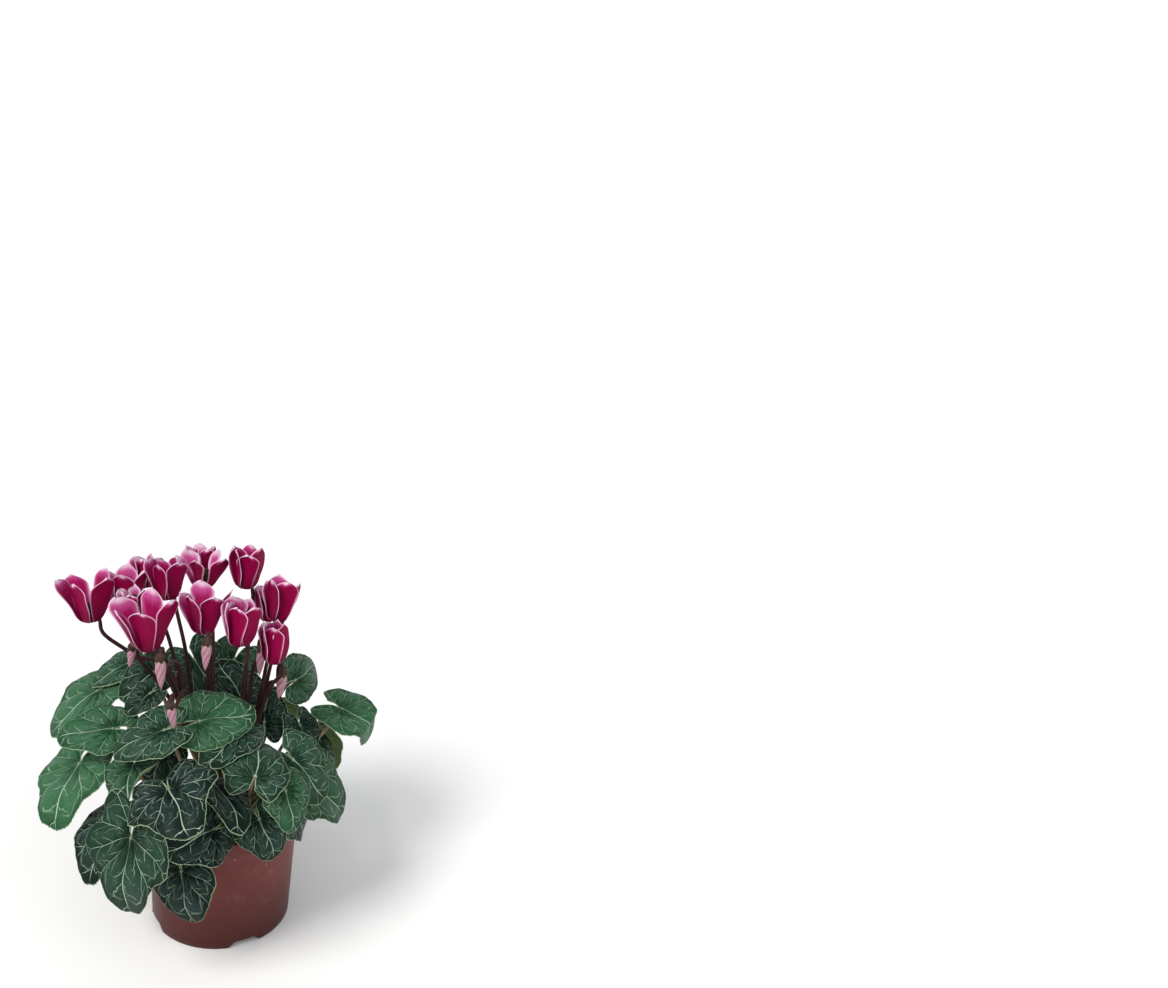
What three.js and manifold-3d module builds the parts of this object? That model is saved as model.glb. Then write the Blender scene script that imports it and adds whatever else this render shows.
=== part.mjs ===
// Potted cyclamen: a full mini cyclamen in its plastic nursery pot, in millimetres, +Z up.
// The origin is the middle of the pot's underside, and -Y is the side with the lowest hanging leaves.
import * as THREE from "three";
import { mergeVertices } from "three/addons/utils/BufferGeometryUtils.js";
import Module from "manifold-3d";

const wasm = await Module();
wasm.setup();

// Driving dimensions of the pot
const RIM_RADIUS = 52.5;
const BODY_TOP_RADIUS = 49.6;
const BODY_FOOT_RADIUS = 47;
const POT_HEIGHT = 90;
const COLLAR_HEIGHT = 10;
const WALL = 1.4;
const FLOOR_UNDERSIDE = 5.5;
const FLOOR_TOP = 7;
const HUB_RADIUS = 21;
const FOOT_RING_WIDTH = 5;
const FOOT_ARCHES = 4;
const FIRST_ARCH = -69;
const ARCH_WIDTH = 24;
const ARCH_HEIGHT = 5.2;
const DRAIN_HOLES = 6;
const DRAIN_HOLE_RADIUS = 4;
const DRAIN_CIRCLE = 32;
const POT_SIDES = 32;

// Driving dimensions of the soil and the tuber
const SOIL_LEVEL = 77.5;
const SOIL_LUMP = 1.1;
const GAP = 0.3;
const TUBER_RADIUS = 22;
const TUBER_HEIGHT = 15;
const TUBER_LEVEL = 74;

// Driving dimensions of the leaves, stems and flowers
const BLADE = 0.9;
const PETIOLE_RADIUS = 1.25;
const ARCH_LEVEL = 120;
const STEM_RADIUS = 1.1;
const THROAT_LEVEL = 160;
const THROAT_HALF = 38;
const PETAL_THICKNESS = 0.7;
const PETALS = 5;
const CLAW_SHARE = 0.02;
const PETAL_BREADTH = 0.26;
const PETAL_SHOULDER = 0.9;
const PETAL_UNLIKE = 4;
const PETAL_SHORTER = 0.12;
const TUBE_TOP = 7;
const TUBE_RADIUS = 2.4;
const MOUTH_RADIUS = 3.6;
const CALYX_RADIUS = 2.3;
const BUD_SIDES = 5;

const rad = THREE.MathUtils.degToRad;
const vec = (x, y, z) => new THREE.Vector3(x, y, z);

// Leaves, one row each: azimuth of the petiole's top round the pot's axis, its reach from the axis and height,
// elevation and sideways turn of the blade's face, heading of the tip from straight downhill, length from
// petiole to tip, width as a share of the usual, how much the outline is lobed like ivy, and how much the
// blade droops to its edge. A row may end with a fold: the direction across it from the tip, its distance,
// and how far it bends down.
const LEAVES = [
  [147, 80, 173, 73, 76, -23, 27, 0.9, 0.2, 0.18],
  [159, 92, 158, 66, 48, -3, 40, 0.95, 0.5, 0.16],
  [-171, 73, 155, 66, 90, -95, 34, 0.9, 0.3, 0.16],
  [154, 55, 177, 55, 101, -41, 27, 1, 0, 0.14],
  [-127, 63, 178, 60, 5, -48, 35, 0.85, 0.14, 0.14],
  [-112, 47.5, 180, 55, 17, 107, 36, 0.92, 0, 0.2],
  [-79, 40, 170, 71, 51, -92, 36, 0.75, 0, 0.16],
  [-177, 94, 125, 56, 20, 33, 44, 1.05, 0.4, 0.14],
  [-140, 74, 151, 78, 2, 35, 32, 0.8, 0.4, 0.22, 60, 0.3, -80],
  [-111, 94, 160, 65, -44, 81, 38, 1.12, 1, 0.16],
  [-120, 109, 130, 17, -1, 0, 54, 0.8, 1, 0.14],
  [-152, 83, 102, 61, -6, 41, 38, 0.85, 0.4, 0.2],
  [-94, 81, 124, 32, 70, -107, 37, 0.9, 0.5, 0.24],
  [-95, 67, 146.5, 63, 125, -89, 38, 0.9, 0.4, 0.2],
  [-108, 82, 91, 14, -6, 14, 38, 0.9, 0.5, 0.16],
  [-72, 70, 121, 22, -10, 20, 32, 0.9, 0.5, 0.24],
  [-60, 75, 141, 38, -7, 3, 27, 0.9, 0.6, 0.24],
  [-76, 74, 156, 62, 4, 153, 32, 1.05, 0.4, 0.24],
  [-41, 56, 146, 46, -13, 25, 36, 1, 0.3, 0.18],
  [-27, 59, 125, 44, -15, 30, 43, 0.95, 0.7, 0.16],
  [20, 83, 145, 76, -74, 29, 40, 0.9, 0.2, 0.2, 0, 0.55, 50],
  [43, 62, 160, 30, -83, 90, 32, 0.9, 0, 0.16],
  [41, 33, 138, 46, -132, 178, 31, 0.82, 0.3, 0.16],
  [-44, 60, 111, 22, 11, 30, 34, 0.85, 0.4, 0.24],
  [24, 54, 136, 44, -71, -6, 26.5, 0.9, 0.2, 0.16],
  [2, 71, 110, 31, -10, 14, 26, 0.85, 0.7, 0.2],
  [30, 75, 113, 45, -43, -30, 27, 0.8, 0.4, 0.22],
  [41, 87, 113, 26, 2, -11, 38, 0.9, 0.1, 0.22],
  [66, 85, 121, 35, 1, 12, 38, 0.9, 0.4, 0.22],
  [91, 86, 112, 26, -1, -9, 38, 0.9, 0.6, 0.22],
  [118, 85, 112, 26, -2, -4, 38, 0.9, 0, 0.22],
  [159, 86, 122, 34, 1, 2, 38, 0.9, 0.5, 0.22],
  [87, 63, 166, 50, 170, -20, 36, 0.9, 0, 0.16],
  [112, 65, 167, 56, 158, 31, 38, 0.9, 0.3, 0.16],
  [-146, 47, 149, 37, 46, -12, 25, 1, 0.1, 0.14],
  [69, 25, 156, 37, -150, -156, 32, 0.9, 0.1, 0.16],
  [178, 50, 174, 54, 80, -43, 20, 0.85, 0.1, 0.12],
];

// Flowers, one row each: mouth of the flower, lean of its axis to +X and +Y in degrees, turn, length of the
// petals and how far they flare.
const FLOWERS = [
  [-86, -5, 231, -6, 6, 10, 32, 4],
  [-67, 14, 226, -4, 8, 40, 32, 0],
  [-57, 46, 231, 0, 8, 20, 22, -1],
  [-41.5, 22, 234, -2, 6, 4, 29, -1.2],
  [-60, -8, 238, -8, 6, 30, 18, -1],
  [-49, -38, 228, -5, 5, 30, 36, 5],
  [-16.5, -20, 231, 0, 6, 55, 31, 4],
  [5.5, -36, 231, 2, 6, 15, 32, -2.8],
  [25, 33, 213, 0, 8, 30, 26, -1],
  [30, 2, 229, 4, 6, 50, 31, -1],
  [-19, 37, 236, 0, 8, 10, 24, 6.5],
  [9, 28, 240, 1, 8, 35, 30, -2],
  [-21, 63, 236, 0, 10, 60, 19, 0.5],
  [28, -28, 214, -2, 5, 30, 29, -4],
];

// Buds, one row each: top of the bud where the calyx is, its length and thickness, and its lean to +X.
const BUDS = [
  [-41, -56, 232, 22, 3.4, 2],
  [-34, -66, 205, 17, 3, 8],
  [-14, -46, 238, 20, 3.2, -2],
  [20, -9, 213, 20, 3, -2],
  [34.5, -11, 196, 20, 3.4, -6],
  [-60, -20, 220, 15, 2.6, -6],
];

// A number from 0 to 1 that depends only on a piece's place in its list and on what it is for.
function spread(index, use) {
  const x = Math.sin(index * 12.9898 + use * 78.233) * 43758.5453;
  return x - Math.floor(x);
}

// A closed geometry as a solid, and a solid as a geometry
function solidOf(geometry) {
  const bare = new THREE.BufferGeometry();
  bare.setAttribute("position", geometry.getAttribute("position"));
  bare.setIndex(geometry.index);
  const merged = mergeVertices(bare, 1e-4);
  const vertProperties = merged.attributes.position.array;
  const triVerts = new Uint32Array(merged.index.array);
  return new wasm.Manifold(new wasm.Mesh({ numProp: 3, vertProperties, triVerts }));
}

function geometryOf(solid) {
  const mesh = solid.getMesh();
  const geometry = new THREE.BufferGeometry();
  geometry.setAttribute("position", new THREE.BufferAttribute(mesh.vertProperties, 3));
  geometry.setIndex(new THREE.BufferAttribute(mesh.triVerts, 1));
  geometry.computeVertexNormals();
  return geometry;
}

function join(solids) {
  return solids.reduce((whole, next) => whole.add(next));
}

// The largest body of a solid: a cut can leave a scrap
function mainBody(solid) {
  return solid.decompose().reduce((a, b) => (b.volume() > a.volume() ? b : a));
}

// A curve that shares its steps evenly between its points, so that a short bend gets as many as a long stretch
class KnotCurve extends THREE.CatmullRomCurve3 {
  getUtoTmapping(share) {
    return share;
  }
}

// A rod along a curve, with flat ends
function rod(points, radius, sides, steps) {
  const section = new THREE.Shape();
  for (let k = 0; k < sides; k++) {
    const turn = (2 * Math.PI * k) / sides;
    const place = [radius * Math.cos(turn), radius * Math.sin(turn)];
    if (k === 0) section.moveTo(...place);
    else section.lineTo(...place);
  }
  section.closePath();
  const extrudePath = new KnotCurve(points, false, "centripetal");
  const settings = { steps, bevelEnabled: false, extrudePath };
  return solidOf(new THREE.ExtrudeGeometry(section, settings));
}

// A plate of even thickness from a grid of middle points and normals: rows x columns, open on all four sides.
// With a shared first row the plate starts in one point, as a fan.
function plate(middle, normal, thickness, fan) {
  const rows = middle.length;
  const columns = middle[rows - 1].length;
  const positions = [];
  const index = [];
  const seat = [[], []];
  for (const side of [0, 1]) {
    for (let r = 0; r < rows; r++) {
      const row = [];
      for (let c = 0; c < columns; c++) {
        if (fan && r === 0 && c > 0) {
          row.push(row[0]);
          continue;
        }
        const offset = (side === 0 ? 0.5 : -0.5) * thickness;
        const p = middle[r][c].clone().addScaledVector(normal[r][c], offset);
        row.push(positions.length / 3);
        positions.push(p.x, p.y, p.z);
      }
      seat[side].push(row);
    }
  }
  const face = (a, b, c) => {
    if (a !== b && b !== c && a !== c) index.push(a, b, c);
  };
  for (let r = 0; r + 1 < rows; r++) {
    for (let c = 0; c + 1 < columns; c++) {
      const [top, under] = seat;
      face(top[r][c], top[r + 1][c], top[r + 1][c + 1]);
      face(top[r][c], top[r + 1][c + 1], top[r][c + 1]);
      face(under[r][c], under[r + 1][c + 1], under[r + 1][c]);
      face(under[r][c], under[r][c + 1], under[r + 1][c + 1]);
    }
  }
  const rim = [];
  for (let r = 0; r + 1 < rows; r++) rim.push([r, 0, r + 1, 0]);
  for (let c = 0; c + 1 < columns; c++) rim.push([rows - 1, c, rows - 1, c + 1]);
  for (let r = rows - 1; r > 0; r--) rim.push([r, columns - 1, r - 1, columns - 1]);
  if (!fan) for (let c = columns - 1; c > 0; c--) rim.push([0, c, 0, c - 1]);
  for (const [r0, c0, r1, c1] of rim) {
    const corners = [seat[0][r0][c0], seat[0][r1][c1], seat[1][r0][c0], seat[1][r1][c1]];
    face(corners[0], corners[2], corners[3]);
    face(corners[0], corners[3], corners[1]);
  }
  const geometry = new THREE.BufferGeometry();
  geometry.setAttribute("position", new THREE.Float32BufferAttribute(positions, 3));
  geometry.setIndex(index);
  return solidOf(geometry);
}

// The pot: a thin wall with a wider collar at the rim, and a floor raised between a hub and a foot ring
function potSolid() {
  const collar = POT_HEIGHT - COLLAR_HEIGHT;
  const inner = BODY_FOOT_RADIUS - WALL;
  const profile = [
    [0, 0],
    [HUB_RADIUS, 0],
    [HUB_RADIUS + 1, FLOOR_UNDERSIDE],
    [BODY_FOOT_RADIUS - FOOT_RING_WIDTH, FLOOR_UNDERSIDE],
    [BODY_FOOT_RADIUS - FOOT_RING_WIDTH + 1, 0],
    [BODY_FOOT_RADIUS - 1, 0],
    [BODY_FOOT_RADIUS, 1],
    [BODY_TOP_RADIUS, collar],
    [RIM_RADIUS - 0.4, collar + 1.2],
    [RIM_RADIUS, POT_HEIGHT - 1],
    [RIM_RADIUS - 0.7, POT_HEIGHT],
    [RIM_RADIUS - WALL, POT_HEIGHT - 0.6],
    [RIM_RADIUS - WALL - 0.6, collar + 2.2],
    [BODY_TOP_RADIUS - WALL, collar],
    [inner, FLOOR_TOP],
    [0, FLOOR_TOP],
  ].map(([r, z]) => new THREE.Vector2(r, z));
  const turned = new THREE.LatheGeometry(profile, POT_SIDES).rotateX(Math.PI / 2);
  let pot = solidOf(turned);
  for (let k = 0; k < FOOT_ARCHES; k++) {
    const half = ARCH_WIDTH / 2;
    const arch = new THREE.Shape();
    arch.moveTo(-half, -1);
    arch.lineTo(half, -1);
    arch.quadraticCurveTo(half - 1, ARCH_HEIGHT, half - 7, ARCH_HEIGHT);
    arch.lineTo(7 - half, ARCH_HEIGHT);
    arch.quadraticCurveTo(1 - half, ARCH_HEIGHT, -half, -1);
    const settings = { depth: 2 * FOOT_RING_WIDTH, bevelEnabled: false, curveSegments: 3 };
    const cutter = new THREE.ExtrudeGeometry(arch, settings);
    cutter.rotateX(Math.PI / 2);
    cutter.rotateZ(Math.PI / 2);
    cutter.translate(BODY_FOOT_RADIUS - 1.5 * FOOT_RING_WIDTH, 0, 0);
    cutter.rotateZ(rad(FIRST_ARCH + (360 / FOOT_ARCHES) * k));
    pot = pot.subtract(solidOf(cutter));
  }
  for (let k = 0; k < DRAIN_HOLES; k++) {
    const drill = new THREE.CylinderGeometry(DRAIN_HOLE_RADIUS, DRAIN_HOLE_RADIUS, 2 * FLOOR_TOP, 8);
    drill.rotateX(Math.PI / 2);
    drill.translate(DRAIN_CIRCLE, 0, FLOOR_TOP);
    drill.rotateZ(((2 * Math.PI) / DRAIN_HOLES) * (k + 0.5));
    pot = pot.subtract(solidOf(drill));
  }
  return pot;
}

// The tuber, a flattened ball, grown by a margin where it makes its own hollow in the soil
function tuberSolid(margin, around, upward) {
  const ball = new THREE.SphereGeometry(1, around, upward);
  ball.rotateX(Math.PI / 2);
  ball.scale(TUBER_RADIUS + margin, TUBER_RADIUS + margin, TUBER_HEIGHT + margin);
  ball.translate(0, 0, TUBER_LEVEL);
  return solidOf(ball);
}

// The soil fills the pot up to a lumpy top
function soilSolid() {
  const clear = WALL + GAP;
  const wide = BODY_TOP_RADIUS - clear - 0.4;
  const narrow = BODY_FOOT_RADIUS - clear;
  const slope = (wide - narrow) / SOIL_LEVEL;
  const profile = [[0, FLOOR_TOP + GAP]];
  profile.push([narrow - 0.2, FLOOR_TOP + GAP]);
  profile.push([narrow + slope * SOIL_LEVEL - 0.4, SOIL_LEVEL]);
  for (const share of [0.82, 0.58]) profile.push([share * wide, SOIL_LEVEL]);
  profile.push([0, SOIL_LEVEL]);
  const points = profile.map(([r, z]) => new THREE.Vector2(r, z));
  const soil = new THREE.LatheGeometry(points, POT_SIDES).rotateX(Math.PI / 2);
  const place = soil.getAttribute("position");
  for (let k = 0; k < place.count; k++) {
    const [x, y, z] = [place.getX(k), place.getY(k), place.getZ(k)];
    if (z < SOIL_LEVEL - 1 || Math.hypot(x, y) > 0.95 * wide) continue;
    const lump = Math.sin(0.31 * x + 0.5) * Math.sin(0.27 * y + 1.1) + 0.5 * Math.sin(0.5 * x - 0.45 * y);
    place.setZ(k, z + SOIL_LUMP * lump);
  }
  return solidOf(soil).subtract(tuberSolid(GAP, 12, 8));
}

// Directions round a leaf: its face, the way its tip points, and its left side
function leafFrame(leaf) {
  const turn = rad(leaf.azimuth + leaf.yaw);
  const rise = rad(leaf.face);
  const face = vec(Math.cos(rise) * Math.cos(turn), Math.cos(rise) * Math.sin(turn), Math.sin(rise));
  const downhill = vec(0, 0, -1).addScaledVector(face, face.z).normalize();
  const across = face.clone().cross(downhill);
  const heading = rad(leaf.heading);
  const tip = downhill.clone().multiplyScalar(Math.cos(heading)).addScaledVector(across, Math.sin(heading));
  const side = face.clone().cross(tip);
  const stalk = vec(
    leaf.reach * Math.cos(rad(leaf.azimuth)),
    leaf.reach * Math.sin(rad(leaf.azimuth)),
    leaf.level,
  );
  return { stalk, face, tip, side };
}

// The outline of a leaf: distance from the petiole to the edge at an angle from the tip, for a length of 1
const SINUS = 171;
function leafEdge(angle, lobes) {
  const turn = Math.abs(angle);
  const round = 0.68 - 0.17 * (turn / rad(160)) ** 2;
  const point = 0.32 * Math.exp(-((turn / rad(36)) ** 2));
  const scallop = (0.012 + 0.06 * lobes) * (Math.cos(5.2 * turn) - Math.exp(-turn * 4));
  const back = THREE.MathUtils.smoothstep(turn, rad(142), rad(SINUS + 3));
  return (round + point + scallop) * (1 - 0.4 * back);
}

// Height of the blade over its plane: it droops to the edge, is sunk along the midrib, and waves
function bladeHeight(leaf, u, v) {
  const reach = Math.hypot(u, v);
  const angle = Math.atan2(v, u);
  const wave = leaf.wave * reach ** 3 * Math.sin(3 * angle + leaf.phase);
  const trough = 0.14 * (Math.sqrt(v * v + 0.01) - 0.1) * Math.max(0, 1 - reach * 0.55);
  const tipDroop = 0.12 * Math.max(0, u) ** 3;
  return trough + wave - leaf.droop * reach * reach - tipDroop;
}

// A point of the blade's middle surface in its own frame, as shares of the leaf's length
function bladePoint(leaf, u, v) {
  const height = bladeHeight(leaf, u, v);
  if (!leaf.fold) return vec(u, v, height);
  const [direction, distance, bend] = leaf.fold;
  const [mx, my] = [Math.cos(rad(direction)), Math.sin(rad(direction))];
  const past = u * mx + v * my - distance;
  if (past <= 0) return vec(u, v, height);
  const radius = 0.16;
  const whole = Math.abs(rad(bend));
  const curved = Math.min(past, radius * whole);
  const bent = curved / radius;
  const sign = Math.sign(bend);
  const along = radius * Math.sin(bent) + (past - curved) * Math.cos(whole) + height * sign * Math.sin(bent);
  const down = radius * (1 - Math.cos(bent)) + (past - curved) * Math.sin(whole);
  return vec(u + mx * (along - past), v + my * (along - past), height * Math.cos(bent) - sign * down);
}

// The blade: a fan of columns round the petiole, each with a half-way and an edge point
const LEAF_COLUMNS = 13;
const LEAF_ROWS = [0, 0.5, 1];
function bladeSolid(leaf, frame) {
  const middle = [];
  const normal = [];
  const world = (p) =>
    frame.stalk
      .clone()
      .addScaledVector(frame.tip, leaf.length * p.x)
      .addScaledVector(frame.side, leaf.length * p.y)
      .addScaledVector(frame.face, leaf.length * p.z);
  for (const share of LEAF_ROWS) {
    const row = [];
    const rowNormal = [];
    for (let c = 0; c < LEAF_COLUMNS; c++) {
      const angle = rad(SINUS) * ((2 * c) / (LEAF_COLUMNS - 1) - 1);
      const reach = share * leafEdge(angle, leaf.lobes);
      const [u, v] = [reach * Math.cos(angle), leaf.width * reach * Math.sin(angle)];
      const step = 0.02;
      const across = bladePoint(leaf, u, v + step).sub(bladePoint(leaf, u, v - step));
      const along = bladePoint(leaf, u + step, v).sub(bladePoint(leaf, u - step, v));
      const up = along.cross(across).normalize();
      row.push(world(bladePoint(leaf, u, v)));
      rowNormal.push(
        new THREE.Vector3()
          .addScaledVector(frame.tip, up.x)
          .addScaledVector(frame.side, up.y)
          .addScaledVector(frame.face, up.z),
      );
    }
    middle.push(row);
    normal.push(rowNormal);
  }
  return plate(middle, normal, BLADE, true);
}

// Where a stalk leaves the tuber, from the direction it grows in: the outer ones stand lower on its side
function tuberSeat(target, innermost, outermost, margin) {
  const out = Math.hypot(target.x, target.y);
  const tilt = Math.atan2(out, target.z - TUBER_LEVEL);
  const share = THREE.MathUtils.clamp(tilt / rad(80), 0, 1);
  const polar = rad(innermost + (outermost - innermost) * share);
  const turn = Math.atan2(target.y, target.x);
  return vec(
    (TUBER_RADIUS + margin) * Math.sin(polar) * Math.cos(turn),
    (TUBER_RADIUS + margin) * Math.sin(polar) * Math.sin(turn),
    TUBER_LEVEL + (TUBER_HEIGHT + margin) * Math.cos(polar),
  );
}

// The petiole rises from the tuber, arches outwards and meets the blade from beneath, at the sinus
function petioleSolid(leaf, frame) {
  const seat = tuberSeat(frame.stalk, 24, 74, GAP);
  const centre = vec(0, 0, TUBER_LEVEL);
  const outwards = seat.clone().sub(centre).normalize();
  const span = frame.stalk.distanceTo(seat);
  const top = frame.stalk.clone().addScaledVector(frame.face, 0.25 * BLADE);
  const under = frame.stalk
    .clone()
    .addScaledVector(frame.face, -0.24 * span)
    .addScaledVector(frame.tip, -0.03 * span);
  const start = seat.clone().addScaledVector(outwards, 0.25 * span);
  const arch = Math.max(0, ARCH_LEVEL - leaf.level);
  start.z += 0.05 * span + 0.7 * arch;
  under.z += 0.6 * arch;
  const curve = new THREE.CubicBezierCurve3(seat, start, under, top);
  const points = [0, 0.2, 0.4, 0.6, 0.8, 1].map((t) => curve.getPoint(t));
  return rod(points, PETIOLE_RADIUS, 3, 5);
}

function leafSolid(leaf) {
  const frame = leafFrame(leaf);
  return bladeSolid(leaf, frame).add(petioleSolid(leaf, frame));
}

function allLeaves() {
  const leaves = LEAVES.map((row) => {
    const [azimuth, reach, level, face, yaw, heading, length, width, lobes, droop, ...fold] = row;
    const shape = { length, width, lobes, droop, fold: fold.length ? fold : null };
    return { azimuth, reach, level, face, yaw, heading, ...shape };
  });
  leaves.forEach((leaf, index) => {
    leaf.wave = 0.03 + 0.04 * spread(index, 3);
    leaf.phase = 2 * Math.PI * spread(index, 4);
  });
  return leaves;
}

// Directions of a flower: its axis points from the mouth to the petal tips, and the gap lets the stem in
function flowerFrame(flower) {
  const axis = vec(Math.tan(rad(flower.leanX)), Math.tan(rad(flower.leanY)), 1).normalize();
  const turn = rad(flower.turn);
  const gap = vec(Math.cos(turn), Math.sin(turn), 0);
  gap.addScaledVector(axis, -gap.dot(axis)).normalize();
  return { mouth: flower.mouth, axis, gap, left: axis.clone().cross(gap) };
}

// A petal's centre line, as distance out and height: it leaves the mouth outwards, turns back and stands up
function petalLine(flower, number, share) {
  const size = flower.length / 36;
  const flare = flower.flare + PETAL_UNLIKE * (spread(PETALS * flower.index + number, 21) - 0.5);
  const tip = flower.length * (1 - PETAL_SHORTER * spread(PETALS * flower.index + number, 22)) - 1;
  const points = [
    [MOUTH_RADIUS - 1.8, 1.6],
    [6.2 + 1.7 * size, -4],
    [4.5 + 2.2 * size, 10.5 * size],
    [3.5 + 10 * size + flare, tip],
  ];
  const t = share;
  const weights = [(1 - t) ** 3, 3 * t * (1 - t) ** 2, 3 * t * t * (1 - t), t ** 3];
  return [0, 1].map((k) => points.reduce((sum, point, n) => sum + weights[n] * point[k], 0));
}

// Half the width of a petal: a claw that widens like a wedge up to its shoulder, then round at the tip
function petalHalfWidth(flower, share) {
  const broad = PETAL_BREADTH * flower.length;
  const widening = Math.min(1, share / PETAL_SHOULDER) ** 1.08;
  const past = Math.max(0, (share - PETAL_SHOULDER) / (1 - PETAL_SHOULDER));
  const round = Math.max(0.2, 1 - past ** 2) ** 0.6;
  return THREE.MathUtils.lerp(CLAW_SHARE * flower.length, broad, widening) * round;
}

const PETAL_ROWS = [0, 0.34, 0.62, 0.87, 1];
const PETAL_COLUMNS = [-1, 0, 1];
const PETAL_TWIST = 26;
const PETAL_PARTING = 16;
function petalPoint(flower, number, frame, turn, share, across) {
  const [out, up] = petalLine(flower, number, share);
  const half = petalHalfWidth(flower, share);
  const radial = frame.gap.clone().multiplyScalar(Math.cos(turn)).addScaledVector(frame.left, Math.sin(turn));
  const tangent = frame.axis.clone().cross(radial);
  const twist = rad(PETAL_TWIST) * THREE.MathUtils.smoothstep(share, 0.1, 0.5);
  const cup = 0.16 * half * across * across * THREE.MathUtils.smoothstep(share, 0.1, 0.4);
  return frame.mouth
    .clone()
    .addScaledVector(radial, out + half * across * Math.sin(twist) - cup)
    .addScaledVector(tangent, half * across * Math.cos(twist))
    .addScaledVector(frame.axis, up);
}

function petalSolid(flower, number, frame, turn) {
  const middle = [];
  const normal = [];
  for (const share of PETAL_ROWS) {
    const row = [];
    const rowNormal = [];
    for (const across of PETAL_COLUMNS) {
      const point = (s, a) => petalPoint(flower, number, frame, turn, s, a);
      const step = 0.02;
      const along = point(Math.min(1, share + step), across).sub(point(Math.max(0, share - step), across));
      const sideways = point(share, across + step).sub(point(share, across - step));
      row.push(point(share, across));
      rowNormal.push(along.cross(sideways).normalize());
    }
    middle.push(row);
    normal.push(rowNormal);
  }
  return plate(middle, normal, PETAL_THICKNESS, false);
}

// The flower: five turned-back petals round a short tube whose mouth looks down
function flowerSolid(flower) {
  const frame = flowerFrame(flower);
  const profile = [
    [0, 1.4],
    [MOUTH_RADIUS, 0],
    [TUBE_RADIUS, TUBE_TOP],
    [0, TUBE_TOP],
  ].map(([r, z]) => new THREE.Vector2(r, z));
  const tube = new THREE.LatheGeometry(profile, PETALS).rotateX(Math.PI / 2).rotateZ(Math.PI / 2);
  const place = new THREE.Matrix4().makeBasis(frame.gap, frame.left, frame.axis).setPosition(frame.mouth);
  tube.applyMatrix4(place);
  const solids = [solidOf(tube)];
  for (let k = 0; k < PETALS; k++) {
    const even = ((2 * Math.PI) / PETALS) * (k + 0.5);
    solids.push(petalSolid(flower, k, frame, even + rad(PETAL_PARTING) * Math.sin(even)));
  }
  return join(solids);
}

function allFlowers() {
  return FLOWERS.map(([x, y, z, leanX, leanY, turn, length, flare], index) => ({
    index,
    mouth: vec(x, y, z),
    leanX,
    leanY,
    turn,
    length,
    flare,
  }));
}

// A furled bud hangs from its calyx: a drop with a twist, pointed at the lower end
function budFrame(bud) {
  const axis = vec(Math.tan(rad(bud.lean)), 0, -1).normalize();
  const front = vec(0, 1, 0);
  return { axis, front, left: axis.clone().cross(front) };
}

function budSolid(bud) {
  const frame = budFrame(bud);
  const profile = [
    [0, GAP],
    [0.55, GAP],
    [0.95, 0.16 * bud.length],
    [1, 0.34 * bud.length],
    [0.72, 0.62 * bud.length],
    [0.3, 0.9 * bud.length],
    [0, bud.length],
  ].map(([r, z]) => new THREE.Vector2(r * bud.radius, z));
  const drop = new THREE.LatheGeometry(profile, BUD_SIDES).rotateX(Math.PI / 2);
  const place = drop.getAttribute("position");
  for (let k = 0; k < place.count; k++) {
    const [x, y, z] = [place.getX(k), place.getY(k), place.getZ(k)];
    const turn = (2.2 * z) / bud.length;
    place.setX(k, x * Math.cos(turn) - y * Math.sin(turn));
    place.setY(k, x * Math.sin(turn) + y * Math.cos(turn));
  }
  drop.applyMatrix4(new THREE.Matrix4().makeBasis(frame.front, frame.left, frame.axis).setPosition(bud.top));
  return solidOf(drop);
}

function allBuds() {
  return BUDS.map(([x, y, z, length, radius, lean]) => ({ top: vec(x, y, z), length, radius, lean }));
}

// Where a stem on its way to its flower passes between the leaves
function throatOf(place) {
  return vec(THROAT_HALF * Math.tanh(place.x / 50), 0.2 * place.y + 8, THROAT_LEVEL);
}

// A stem's points from inside the tuber to where it arrives, bowed upwards past the throat
function stemPoints(arrive, lift) {
  const throat = throatOf(arrive);
  const seat = tuberSeat(throat, 4, 62, -2);
  const high = throat.clone().lerp(arrive, 0.5);
  high.z += lift * throat.distanceTo(arrive);
  return [seat, throat, high, arrive];
}

function calyxSolid(radius, centre) {
  const calyx = new THREE.SphereGeometry(radius, 4, 3).rotateX(Math.PI / 2);
  calyx.translate(centre.x, centre.y, centre.z);
  return solidOf(calyx);
}

function flowerStem(flower) {
  const frame = flowerFrame(flower);
  const at = (out, up) =>
    frame.mouth.clone().addScaledVector(frame.gap, out).addScaledVector(frame.axis, up);
  const reach = 3.3 + (2 * flower.length) / 36;
  const hook = [at(reach, -1), at(0.82 * reach, 5), at(0.7 * reach, 10.4), at(1.4, 11.6), at(0, 9)];
  const stem = rod([...stemPoints(at(6, -9), 0.1), ...hook], STEM_RADIUS, 3, 9);
  return stem.add(calyxSolid(CALYX_RADIUS, at(0, TUBE_TOP + GAP + CALYX_RADIUS)));
}

function budStem(bud) {
  const out = throatOf(bud.top).sub(bud.top).setZ(0).normalize();
  const at = (share, up) => bud.top.clone().addScaledVector(out, share).add(vec(0, 0, up));
  const reach = bud.radius + STEM_RADIUS + 1;
  const hook = [at(reach, 0), at(0.7 * reach, 5), at(0.2 * reach, 5.4), at(0, 1.6)];
  const stem = rod([...stemPoints(at(reach, -8), 0.25), ...hook], STEM_RADIUS, 3, 8);
  return stem.add(calyxSolid(0.8 * CALYX_RADIUS, at(0, 0.8 * CALYX_RADIUS)));
}

// The crown: the tuber and every flower and bud stem, grown as one piece
function crownSolid() {
  const stems = [...allFlowers().map(flowerStem), ...allBuds().map(budStem)];
  return join([tuberSolid(0, 12, 8), ...stems]);
}

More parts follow.
